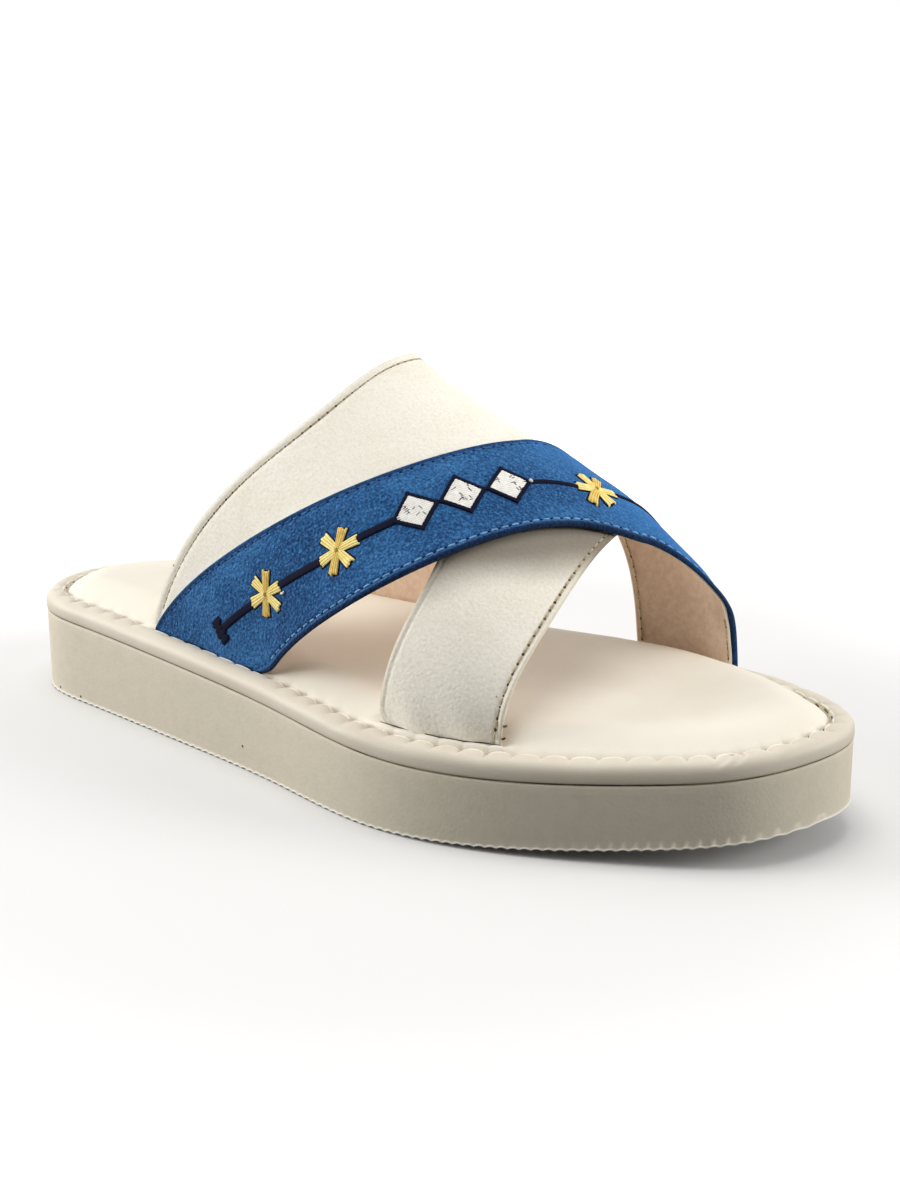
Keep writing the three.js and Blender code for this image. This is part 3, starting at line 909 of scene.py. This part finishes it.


# Mark for a piece that the painted shadow of the blue strap doesn't reach, in mm.
far_off = 99.0
panel_ways = even_ways(collar, panel_front, -1.0, 2.0, 0.8)
leg_ways = even_ways(leg_rear, cream_front, -1.0, 0.6, 0.7)
panel_sheet = strap_sheet(collar, panel_front, panel_ways, -leather_thick, 0.0, 40, panel_relief)
panel_sheet[2]["to_blue"] = np.full_like(panel_sheet[2]["to_rear"], far_off)
panel = make_piece("rear_suede", suede, "cream_suede", *panel_sheet)
leg_sheet = strap_sheet(leg_rear, cream_front, leg_ways, -leather_thick, 0.0, 34, leg_relief, leg_sink)
leg_over = np.repeat(leg_ways, leg_sheet[2]["to_rear"].shape[1])
# The painted shadow is measured from the blue strap's front edge, and held further off near the foot,
# where it fades.
leg_gap = np.abs(leg_sheet[0][:, 0] - blue_front(leg_over))
leg_sheet[2]["to_blue"] = leg_gap * edge_slant(blue_front, leg_over)
leg_sheet[2]["to_blue"] += 7.0 * smooth(0.33, 0.2, leg_over)
leg = make_piece("front_suede", suede, "cream_suede", *leg_sheet)


def pulled_in(edge, inset):
    """Edge moved towards the middle of the strap by an amount in x."""
    return lambda over: edge(over) + inset


lining_top = -leather_thick - 0.04
panel_edges = (pulled_in(collar, 0.4), pulled_in(panel_front, -0.4))
panel_lining = strap_sheet(*panel_edges, panel_ways, -strap_thick, lining_top, 24)
make_piece("rear_lining", lining, "cream_suede", *panel_lining)
leg_edges = (pulled_in(leg_rear, 0.4), pulled_in(cream_front, -0.4))
leg_lining = strap_sheet(*leg_edges, leg_ways, -strap_thick, lining_top, 24, sink=leg_sink)
make_piece("front_lining", lining, "cream_suede", *leg_lining)

# Blue strap
# Blue nubuck, laid over the cream straps from the outer side of the heel to the inner side of the toe.
# Both long edges are turned in and sewn down, so they stand fuller than the field. The front edge is
# darkened by painted shade, and the rear edge has a darker band inside a painted highlight on its very
# edge. The end that hangs free of the cream straps is folded double, and painted light brightens the
# strap towards it.
blue_base = 0.8
blue_top = 1.7
blue_fold = 1.05
blue_front_row = 2.5
blue_rear_row = 1.8
nubuck_nap = {
    "Base": tint(33, 84, 136),
    "Light": tint(70, 134, 194),
    "Dark": tint(15, 45, 90),
    "Grain Scale": 1200.0,
    "Grain Amount": 0.62,
    "Pebble Scale": 1000.0,
    "Stroke Scale": 38.0,
    "Stroke Amount": 0.35,
}
nubuck_shades = [
    # Painted light, brightening the strap towards its far side.
    ("to_far", tint(62, 136, 208), 0.0, 18.0, 0.5),
    # Painted shade along the turned front edge.
    ("to_front", tint(12, 28, 62), 0.9, 1.7, 0.84),
    # A darker band inside the rear edge.
    ("to_rear", tint(20, 50, 92), 0.9, 1.8, 0.6),
    # Painted highlight along the very rear edge.
    ("to_rear", tint(120, 158, 198), 0.1, 0.4, 0.7),
]
nubuck = napped_material("blue_nubuck", (0.9, 0.1, 0.05), nubuck_nap, nubuck_shades, 0.9, 0.0005)


def strap_front(over):
    return blue_front(over) - round_corner(over, blue_front(over), 4.0)


def strap_bridge(over, to_front):
    """The strap stands off the front leg along its thick turned edge, where it bridges over it."""
    return 0.9 * bell(to_front, 0, 7) * smooth(0.08, 0.22, over) * smooth(0.66, 0.5, over)


def strap_relief(x, over, to_rear, to_front):
    """Turned edges, their stitch valleys, slanting pulls across the field and the bridge over the leg."""
    front = 0.3 * bell(to_front, 1.0, 0.7) - 0.35 * bell(to_front, blue_front_row, 0.45)
    rear = 0.18 * bell(to_rear, 0.8, 0.6) - 0.3 * bell(to_rear, blue_rear_row, 0.4)
    pulls = 0.4 * np.sin(x * 0.10 - over * 22 + 0.8) + 0.3 * np.sin(x * 0.17 + over * 26 + 2.0)
    field = smooth(2, 8, np.minimum(to_rear, to_front))
    return front + rear + pulls * field + strap_bridge(over, to_front)


def lining_front(over):
    """The lining is cut back under the turned edge."""
    return strap_front(over) - 0.9


def lining_relief(x, over, to_rear, to_front):
    """The lining follows the bridge, and wrinkles a little where the free strap bends to its foot."""
    wrinkles = 0.22 * np.sin(x * 0.21 + over * 35) * smooth(0.74, 0.85, over)
    return strap_bridge(over, to_front) / 0.6 * 0.75 + wrinkles


blue_ways = even_ways(blue_rear, strap_front, -1.0, 2.0, 0.7)
blue_inside = blue_base - blue_fold * smooth(0.7, 0.8, blue_ways)[:, None]
blue_sheet = strap_sheet(blue_rear, strap_front, blue_ways, blue_inside, blue_top, 46, strap_relief)
blue_over = np.repeat(blue_ways, blue_sheet[2]["to_rear"].shape[1])
# Hundredths of the way over the foot still to go to where the painted light on the far end is full.
blue_sheet[2]["to_far"] = 100 * (0.6 - blue_over)
blue = make_piece("blue_strap_leather", nubuck, "blue_nubuck", *blue_sheet)
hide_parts("blue_strap", "upper")
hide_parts("upper")
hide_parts("upper")


def lining_drop(x, over):
    """The lining lies on the cream straps, and sinks under the fold where the strap is free."""
    return 1.0 * smooth(0.70, 0.80, over)


blue_lining_edges = (pulled_in(blue_rear, 0.3), lining_front)
blue_lining_top = blue_base - 0.04
blue_lining = strap_sheet(
    *blue_lining_edges, blue_ways, 0.1, blue_lining_top, 30, lining_relief, lining_drop
)
make_piece("blue_strap_lining", lining, "blue_nubuck", *blue_lining)

# Slot lines
# Where a strap goes down between the rim and the footbed the leathers press together, and a thin uneven
# dark line along the joint is their painted contact shadow.
# Painted contact shadow along the feet of the cream straps, as a thin dark brown line.
slot_shadow_tone = uneven_dye(tint(104, 90, 66), tint(50, 42, 32), 120.0, 1.0)
slot_line = handled_material("slot_line", 0.8, 0.1, slot_shadow_tone)
slot_runs = []
for start, end, side, out in (
    (float(leg_rear(0.0)) - 5.5, float(cream_front(0.0)) + 0.2, 0.0, 0.12),
    (float(collar(1.0)), float(cream_front(1.0)), 1.0, 0.12),
):
    x = np.linspace(start, end, 70)
    foot = shell_point(x, side, out)
    level = footbed_top(foot[:, 0], foot[:, 1], 0.6) + 0.1 + 0.16 * np.sin(x * 0.5) * np.sin(x * 0.17 + 1)
    slot_runs.append((np.column_stack([foot[:, :2], level]), upright))
make_piece("cream_slot_shadows", slot_line, "cream_suede", *tubes(slot_runs, 0.4, 0.36))
blue_slots = []
for side in (0.0, 1.0):
    x = np.linspace(float(blue_rear(side)) + 0.3, float(strap_front(side)) - 0.3, 90)
    foot = shell_point(x, side, blue_top + 0.05)
    level = sole_top(x) + 5.75 + 0.14 * np.sin(x * 0.9) + 0.2 * np.sin(x * 0.23 + 2)
    blue_slots.append((np.column_stack([foot[:, :2], level]), upright))
# Painted contact shadow along the feet of the blue strap, as a dark navy line.
gap_shade = uneven_dye(tint(26, 36, 56), tint(48, 56, 72), 200.0, 0.8)
navy_slot_shadow = handled_material("navy_slot_shadow", 0.9, 0.05, gap_shade)
make_piece("blue_slot_shadows", navy_slot_shadow, "blue_nubuck", *tubes(blue_slots, 0.5, 0.45))

# Topstitching
# Each turned edge is held by one row of machine stitches. The cream thread sits in its valley with a
# small dark mark of painted shade for the needle hole at both ends, and the blue strap's thread is a
# paler blue than its leather.
stitch_pitch = 3.3
stitch_width = 0.6
stitch_thick = 0.42
stitch_fill = 0.72


def stitch_row(edge, distance, low, high, out, side=1, lift=None):
    """Runs of the threads and of the needle holes of one row, at a true distance in from an edge."""
    fine = np.linspace(low, high, 2500)
    x = edge(fine) + distance / edge_slant(edge, fine)
    reach = run_of(last_point(x, fine))

    def run(place, height):
        over = np.interp(place, reach, fine)
        at = np.interp(place, reach, x)
        rise = lift(over, abs(distance)) if lift else 0
        return shell_point(at, over, out + rise + height), last_normal(at, over)

    arch = side * (0.14 * np.cos(np.linspace(-1.45, 1.45, 7)) - 0.02)
    gap = stitch_pitch * (1 - stitch_fill)
    threads = []
    holes = []
    for number in range(int(reach[-1] / stitch_pitch)):
        centre = (number + 0.5) * stitch_pitch
        threads.append(run(centre + np.linspace(-0.5, 0.5, 7) * stitch_pitch * stitch_fill, arch))
        holes.append(run(centre + 0.5 * stitch_pitch + np.linspace(-0.65, 0.65, 4) * gap, -0.06 * side))
    return threads, holes


def sew(name, rows, thread, hole, slot, hole_width=0.85):
    """One piece of thread and one of holes, from rows of stitches."""
    threads = [run for row in rows for run in row[0]]
    holes = [run for row in rows for run in row[1]]
    make_piece(name + "_thread", thread, slot, *tubes(threads, stitch_width, stitch_thick))
    make_piece(name + "_holes", hole, slot, *tubes(holes, hole_width, 0.4, 6))


suede_thread = thread_material("suede_thread", tint(200, 185, 152), tint(146, 128, 98))
blue_thread = thread_material("blue_thread", tint(136, 178, 218), tint(78, 124, 176))
deep_blue_thread = thread_material("deep_blue_thread", tint(72, 120, 176), tint(34, 70, 124))
# Navy marks of painted shade for the blue strap's needle holes.
blue_hole = thread_material("blue_stitch_holes", tint(20, 34, 66), tint(12, 20, 42), 0.9)
cream_rows = [
    stitch_row(collar, collar_row, 0.01, 0.99, -0.18),
    stitch_row(cream_front, -leg_row, 0.01, 0.47, -0.22),
    stitch_row(cream_front, -panel_row, 0.74, 0.99, -0.25),
]
sew("cream_strap", cream_rows, suede_thread, stitch_hole, "cream_suede")
blue_front_stitches = stitch_row(strap_front, -blue_front_row, 0.012, 0.99, 1.44, lift=strap_bridge)
sew("blue_front", [blue_front_stitches], blue_thread, blue_hole, "blue_nubuck")
blue_rear_stitches = stitch_row(blue_rear, blue_rear_row, 0.01, 0.99, 1.46)
sew("blue_rear", [blue_rear_stitches], deep_blue_thread, blue_hole, "blue_nubuck")

# Two dark ends of thread stick out at the foot of the front piece, past its front edge.
end_runs = []
for over in (0.014, 0.036):
    run = np.linspace(0, 1, 7)
    x = cream_front(over) - 0.2 + 1.3 * run
    end_runs.append((shell_point(x, over + 0.004 * run * run, -0.7 + 0.5 * run), upright))
make_piece("loose_ends", slot_line, "cream_suede", *tubes(end_runs, 0.7, 0.6))
lining_rows = [
    stitch_row(strap_front, -2.0, 0.78, 0.985, -0.92, side=-1),
    stitch_row(blue_rear, 2.0, 0.78, 0.985, -0.92, side=-1),
]
sew("lining", lining_rows, suede_thread, stitch_hole, "cream_suede", 0.5)

# Embroidery
# Worked on the blue strap before it is sewn on: a navy satin line with a short bar at each end, six-armed
# yellow stars on it, and three white diamonds outlined in navy. The far half repeats the near one.
navy = thread_material("navy_thread", tint(14, 18, 48), tint(7, 9, 28), strand_shade=0.6)
gold = thread_material("gold_thread", tint(240, 212, 124), tint(212, 170, 78), strand_shade=0.85)
straw = thread_material("straw_thread", tint(255, 240, 166), tint(240, 206, 104), strand_shade=0.85)
white = thread_material("white_thread", tint(250, 248, 242), tint(232, 229, 222), strand_shade=0.35)

# Line of the pattern: way over the foot and share of the strap's width from its rear edge.
pattern_line = [
    (0.020, 0.490),
    (0.069, 0.514),
    (0.160, 0.511),
    (0.263, 0.480),
    (0.325, 0.486),
    (0.388, 0.497),
    (0.509, 0.547),
    (0.610, 0.560),
    (0.720, 0.530),
]
near_bar = 0.0175
near_stars = [0.069, 0.160]
diamond_places = [0.263, 0.325, 0.388]
knot_place = 0.418
embroidery_sink = 0.08
line_step = 0.12
line_pitch = 0.45
bar_length = 8.4
bar_width = 4.8
bar_height = 0.6
bar_pitch = 0.6
far_star = 0.509
line_share = spline([row[0] for row in pattern_line], [row[1] for row in pattern_line])


def on_line(over):
    """x of the pattern line."""
    share = line_share(over)
    return blue_rear(over) + share * (strap_front(over) - blue_rear(over))


def line_normal(over):
    """Outward direction of the strap at a place on the pattern line."""
    return last_normal(float(on_line(over)), over)


def strap_field(x, over):
    """Relief of the strap under the embroidery."""
    to_rear = (x - blue_rear(over)) * 0.75
    to_front = (strap_front(over) - x) * 0.75
    return strap_relief(x, over, to_rear, to_front)


line_ways = np.linspace(0, 0.9, 2000)
line_reach = run_of(last_point(on_line(line_ways), line_ways))


def past(start, near_end, near_start):
    """Way over the foot past a start, as far on as one place of the near half is from another."""
    reach = np.interp([start, near_end, near_start], line_ways, line_reach)
    return float(np.interp(reach[0] + reach[1] - reach[2], line_reach, line_ways))


last_star = past(far_star, near_stars[1] + 0.05, near_stars[0])
far_bar = past(last_star, near_stars[0], near_bar)
star_places = [*near_stars, far_star, last_star]


def lay(over, turn, along, across, out):
    """Points laid on the strap round a place on the pattern line, turned from the line itself."""
    x = float(on_line(over))
    slope_x = last_point(x + x_step, over) - last_point(x - x_step, over)
    slope_over = last_point(x, over + way_step) - last_point(x, over - way_step)
    slope_over = slope_over / (2 * way_step)
    ahead = over + 2 * way_step
    behind = over - 2 * way_step
    line = last_point(on_line(ahead), ahead) - last_point(on_line(behind), behind)
    line /= np.linalg.norm(line)
    side = np.cross(last_normal(x, over), line)
    ahead = np.cos(turn) * line + np.sin(turn) * side
    aside = -np.sin(turn) * line + np.cos(turn) * side
    reach = np.asarray(along)[..., None] * ahead + np.asarray(across)[..., None] * aside
    slopes = np.array([slope_x, slope_over])
    shift = np.linalg.solve(slopes @ slopes.T, slopes @ reach.reshape(-1, 3).T)
    shift = shift.reshape(2, *np.shape(reach)[:-1])
    lift = strap_field(x + shift[0], over + shift[1])
    return shell_point(x + shift[0], over + shift[1], blue_top + lift + out)


def grid_faces(rows, columns):
    """Quads of an open grid."""
    row = np.arange(rows - 1)[:, None]
    column = np.arange(columns - 1)[None, :]
    corner = row * columns + column
    quads = [corner, corner + columns, corner + columns + 1, corner + 1]
    return np.stack(quads, axis=-1).reshape(-1, 4).tolist()


def join(patches):
    """One set of points, faces and strand marks from several."""
    first = 0
    faces = []
    for points, part_faces, strands in patches:
        faces += [[first + corner for corner in face] for face in part_faces]
        first += len(points)
    marks = {"strand": np.concatenate([np.ravel(patch[2]) for patch in patches])}
    return np.concatenate([patch[0] for patch in patches]), faces, marks


def satin_block(over, turn, start, end, width, height, threads, ragged=0.0, seed=0.0):
    """Raised block of satin stitches running along it, from start to end past a place on the line."""
    rows = int((end - start) * 4)
    columns = threads * 5 + 1
    along, across = np.meshgrid(np.linspace(-1, 1, rows), np.linspace(-1, 1, columns), indexing="ij")
    strand = np.abs(np.sin((across + 1) * threads * np.pi / 2 + 0.25 * np.sin(along * 2.2 + seed)))
    body = (1 - np.abs(across) ** 4) ** 0.5 * (1 - np.abs(along) ** 14) ** 0.5
    uneven = 1 + ragged * np.sin(np.floor((across + 1) * threads / 2) * 2.3 + seed)
    reach = (start + end) / 2 + along * (end - start) / 2 * np.where(along > 0, uneven, 1.0)
    wide = width / 2 * (0.8 + 0.2 * along)
    out = body * (height + 0.22 * strand) - embroidery_sink
    points = lay(over, turn, reach, across * wide, out)
    return points.reshape(-1, 3), grid_faces(rows, columns), strand


def satin_bar(over, seed):
    """Raised bar across the end of the line, of short satin stitches with uneven fuzzy ends."""
    rows = int(bar_length / 0.13)
    columns = 15
    along, across = np.meshgrid(np.linspace(-1, 1, rows), np.linspace(-1, 1, columns), indexing="ij")
    count = along * bar_length / 2 / bar_pitch
    strand = np.abs(np.sin(count * np.pi))
    body = (1 - across**4) ** 0.5 * (1 - along**10) ** 0.5
    uneven = 1 + 0.22 * np.sin(np.floor(count) * 2.1 + seed) + 0.14 * np.sin(np.floor(count) * 5.3)
    out = body * (bar_height + 0.12 * strand) - embroidery_sink
    points = lay(over, np.pi / 2, along * bar_length / 2, across * bar_width / 2 * uneven, out)
    return points.reshape(-1, 3), grid_faces(rows, columns), strand


def satin_line(low, high, width, height):
    """Raised line of satin stitches along the pattern line."""
    fine = np.linspace(low, high, 800)
    reach = run_of(last_point(on_line(fine), fine))
    rows = int(reach[-1] / line_step)
    ways = np.interp(np.linspace(0, reach[-1], rows), reach, fine)
    columns = 11
    across = np.linspace(-1, 1, columns)
    count = np.arange(rows) * line_step / line_pitch
    strand = np.abs(np.sin(count * np.pi))
    uneven = 1 + 0.06 * np.sin(np.floor(count) * 2.7)
    x = on_line(ways)
    ahead = np.gradient(last_point(x, ways), axis=0)
    ahead /= np.linalg.norm(ahead, axis=1, keepdims=True)
    aside = np.cross(last_normal(x, ways), ahead)
    lift = strap_field(x, ways)
    points = np.empty((rows, columns, 3))
    for column in range(columns):
        swell = np.sqrt(1 - across[column] ** 4) * (height + 0.1 * strand)
        centre = shell_point(x, ways, blue_top + lift - embroidery_sink + swell)
        points[:, column] = centre + aside * (across[column] * width / 2 * uneven)[:, None]
    return points.reshape(-1, 3), grid_faces(rows, columns), np.repeat(strand, columns)


# The line is heavy beside the bars and light between the diamonds and the last star.
line_runs = [
    satin_line(near_bar - 0.004, 0.243, 2.7, 0.42),
    satin_line(0.405, far_star, 1.8, 0.36),
    satin_line(far_star, last_star, 1.7, 0.36),
    satin_line(last_star, far_bar, 2.7, 0.42),
    satin_bar(near_bar, 0.4),
    satin_bar(far_bar, 1.9),
]
make_piece("pattern_line", navy, "blue_nubuck", *join(line_runs))

# Each star has six arms of straight stitches, two of them a deeper yellow, over a thin navy outline, and
# a small ring of thread at its centre.
arm_start = -0.6
arm_end = 7.1
arm_width = 3.9
arm_threads = 4
outline_spare = 0.9
centre_radius = 0.35
light_arms = []
gold_arms = []
shadows = []
centres = []
ring_turn = np.linspace(0, 2 * np.pi, 15)
for count, place in enumerate(star_places):
    for number in range(6):
        turn = number * np.pi / 3 + 0.05 * np.sin(count * 3.1 + number * 1.7)
        end = arm_end * (1 + 0.05 * np.sin(count * 1.3 + number * 2.9))
        seed = count + number * 1.1
        arms, height = (gold_arms, 0.62) if number in (1, 4) else (light_arms, 0.5)
        arms.append(satin_block(place, turn, arm_start, end, arm_width, height, arm_threads, 0.07, seed))
        under = (arm_start, end + 0.3, arm_width + outline_spare, 0.2)
        shadows.append(satin_block(place, turn, *under, arm_threads, 0.04, number))
    ring = lay(place, 0.0, centre_radius * np.cos(ring_turn), centre_radius * np.sin(ring_turn), 0.7)
    centres.append((ring, line_normal(place)))
make_piece("star_light_arms", straw, "blue_nubuck", *join(light_arms))
make_piece("star_gold_arms", gold, "blue_nubuck", *join(gold_arms))
make_piece("star_outlines", navy, "blue_nubuck", *join(shadows))
make_piece("star_centres", straw, "blue_nubuck", *tubes(centres, 0.7, 0.6))

# The diamonds are filled with white satin stitch and bordered in navy, with loose dark stitches on them.
diamond_along = 6.6
diamond_across = 6.4
outline_width = 1.4
outline_step = 0.5
shade_stitches = 11
fill_sink = 0.05
fills = []
outlines = []
shade_runs = []
for count, place in enumerate(diamond_places):
    first, second = np.meshgrid(np.linspace(-1, 1, 80), np.linspace(-1, 1, 80), indexing="ij")
    along = diamond_along * (first + second) / 2
    across = diamond_across * (first - second) / 2
    body = (1 - np.abs(first) ** 12) ** 0.5 * (1 - np.abs(second) ** 12) ** 0.5
    strand = np.abs(np.sin(across * 4.4 + 0.3 * np.sin(along * 1.4 + count)))
    swell = body * (0.36 + 0.13 * strand + 0.05 * np.sin(along * 2.1))
    points = lay(place, 0.0, along, across, swell - fill_sink)
    fills.append((points.reshape(-1, 3), grid_faces(80, 80), strand))
    corners = np.array([(1, 0), (0, 1), (-1, 0), (0, -1), (1, 0)]) * (diamond_along, diamond_across)
    for side in range(4):
        span = corners[side + 1] - corners[side]
        length = np.linalg.norm(span)
        direction = span / length
        run = np.linspace(-0.07, 1.07, 90)[:, None]
        wide = np.linspace(-1, 1, 9)[None, :]
        strand = np.abs(np.sin(run * length / outline_step * np.pi)) + 0 * wide
        uneven = 1 + 0.08 * np.sin(np.floor(run * length / outline_step) * 2.3 + side)
        spots = corners[side] + span * run
        along = spots[:, :1] - direction[1] * wide * outline_width / 2 * uneven
        across = spots[:, 1:] + direction[0] * wide * outline_width / 2 * uneven
        height = np.sqrt(1 - wide**4) * (0.5 + 0.1 * strand)
        points = lay(place, 0.0, along, across, height - fill_sink)
        outlines.append((points.reshape(-1, 3), grid_faces(90, 9), strand))
    chance = np.random.default_rng(11 + count)
    for number in range(shade_stitches):
        spot = (chance.uniform(-0.55, 0.55, 2) * (diamond_along, diamond_across)) * 0.8
        turn = chance.choice([0.2, 0.5, 1.9])
        run = np.linspace(-0.5, 0.5, 7) * chance.uniform(1.0, 1.9)
        stitch = lay(place, 0.0, spot[0] + np.cos(turn) * run, spot[1] + np.sin(turn) * run, 0.42)
        shade_runs.append((stitch, line_normal(diamond_places[1])))
make_piece("diamond_fill", white, "blue_nubuck", *join(fills))
make_piece("diamond_outlines", navy, "blue_nubuck", *join(outlines))
shade_thread = thread_material("shade_thread", tint(58, 62, 82), tint(120, 122, 134))
make_piece("diamond_shade_stitches", shade_thread, "blue_nubuck", *tubes(shade_runs, 0.3, 0.2, 6))

# A white knot closes the chain of diamonds, and the end of a thread was left loose beside the first star.
knot = lay(knot_place, 0.0, 0.3 * np.cos(ring_turn), 0.3 * np.sin(ring_turn), 0.62)
first_star = near_stars[0]
stray = lay(first_star, 0.0, np.linspace(6.5, 8.3, 15), -2.2 - 0.5 * np.sin(np.linspace(0, 3, 15)), 0.35)
loose_runs = [(knot, line_normal(knot_place)), (stray, line_normal(first_star))]
make_piece("loose_threads", white, "blue_nubuck", *tubes(loose_runs, 0.8, 0.7))

# Studio
# White seamless floor under three square soft lights, one straight above and one low on either side. The
# paper and the room look white to the camera, and throw less light on the sandal than they show.
floor_reach = 6
floor_mesh = bpy.data.meshes.new("studio_floor")
floor_corners = [(-floor_reach, -floor_reach), (floor_reach, -floor_reach), (floor_reach, floor_reach)]
floor_corners.append((-floor_reach, floor_reach))
floor_mesh.from_pydata([(*corner, 0) for corner in floor_corners], [], [(0, 1, 2, 3)])
floor = bpy.data.objects.new("studio_floor", floor_mesh)
bpy.context.scene.collection.objects.link(floor)
paper, paper_tree, paper_shader = new_material("floor_paper", 0.9, 0.05)
paper_seen = paper_tree.nodes.new("ShaderNodeLightPath").outputs["Is Camera Ray"]
paper_tone = blend(paper_tree, paper_seen, (0.22, 0.22, 0.22, 1), (0.76, 0.76, 0.76, 1))
paper_place = {0: object_place(paper_tree)}
paper_reach = place_node(paper_tree, "ShaderNodeVectorMath", paper_place, operation="LENGTH")


def paper_glow(start, end):
    """Glow that grows from start to end, in metres from the sandal, and hides the horizon."""
    values = {"Value": paper_reach.outputs["Value"], "From Min": start, "From Max": end, "To Max": 0.9}
    glow = place_node(paper_tree, "ShaderNodeMapRange", values, interpolation_type="SMOOTHSTEP")
    return glow.outputs["Result"]


paper_glows = {"Factor": paper_seen, "A": paper_glow(0.3, 1.2), "B": paper_glow(0.15, 0.42)}
paper_level = place_node(paper_tree, "ShaderNodeMix", paper_glows).outputs["Result"]
paper_light = {"Emission Strength": paper_level, "Emission Color": (1, 1, 1, 1)}
feed(paper_tree, paper_shader, {"Base Color": paper_tone, **paper_light})
floor_mesh.materials.append(paper)

camera_azimuth = np.radians(36.14)
camera_elevation = np.radians(17.91)
camera_distance = 644.63
camera_roll = np.radians(-0.27)
aim_height = 25.0
aim_right = 12.71
aim_up = 21.92
forward = np.array(
    [
        -np.sin(camera_azimuth) * np.cos(camera_elevation),
        np.cos(camera_azimuth) * np.cos(camera_elevation),
        -np.sin(camera_elevation),
    ]
)
right = np.array([np.cos(camera_azimuth), np.sin(camera_azimuth), 0.0])
upward = np.cross(right, forward)
target = np.array([0, 0, aim_height]) + aim_right * right + aim_up * upward
camera_place = (target - forward * camera_distance) * 0.001
camera_data = bpy.data.cameras.new("photo_camera")
camera_data.sensor_fit = "VERTICAL"
camera_data.sensor_height = 36.0
camera_data.lens = 62.09
camera_data.clip_end = 50.0
camera = bpy.data.objects.new("photo_camera", camera_data)
bpy.context.scene.collection.objects.link(camera)
turned_right = np.cos(camera_roll) * right + np.sin(camera_roll) * upward
turned_up = np.cross(turned_right, forward)
camera_axes = np.column_stack([turned_right, turned_up, -forward, camera_place])
camera.matrix_world = Matrix([*camera_axes.tolist(), [0, 0, 0, 1]])
bpy.context.scene.camera = camera

away = np.array([-np.sin(camera_azimuth), np.cos(camera_azimuth), 0.0])


def add_light(name, aside, behind, above, size, power, colour):
    """Square soft light, placed from the sandal in metres to the camera's right, behind it and up."""
    data = bpy.data.lights.new(name, "AREA")
    data.size = size
    data.energy = power
    data.color = colour
    light = bpy.data.objects.new(name, data)
    bpy.context.scene.collection.objects.link(light)
    place = right * aside + away * behind + np.array([0, 0, above])
    light.location = Vector(place)
    light.rotation_euler = Vector((0, 0, 0.04) - place).to_track_quat("-Z", "Y").to_euler()


add_light("top_light", -0.05, -0.1, 1.15, 0.7, 5.1, (1.0, 0.99, 0.965))
add_light("left_light", -1.2, 0.1, 0.38, 0.6, 12.6, (1.0, 0.985, 0.955))
add_light("right_light", 1.2, -0.25, 0.45, 0.6, 10.0, (1.0, 0.985, 0.955))
world = bpy.data.worlds.new("studio_world")
bpy.context.scene.world = world
world.use_nodes = True
world_tree = world.node_tree
background = world_tree.nodes["Background"]
direction = world_tree.nodes.new("ShaderNodeTexCoord").outputs["Generated"]
bright_side = Vector(away * 0.75 + np.array([0, 0, 0.66])).normalized()
both = {0: direction, 1: bright_side}
facing = place_node(world_tree, "ShaderNodeVectorMath", both, operation="DOT_PRODUCT").outputs["Value"]
fading = {"Value": facing, "From Min": -0.35, "From Max": 0.75, "To Min": 0.03, "To Max": 0.75}
room_light = place_node(world_tree, "ShaderNodeMapRange", fading).outputs["Result"]
room_seen = world_tree.nodes.new("ShaderNodeLightPath").outputs["Is Camera Ray"]
room_level = place_node(world_tree, "ShaderNodeMix", {"Factor": room_seen, "A": room_light, "B": 1.0})
feed(world_tree, background, {"Strength": room_level.outputs["Result"], "Color": (1, 1, 1, 1)})
bpy.context.scene.view_settings.view_transform = "Standard"
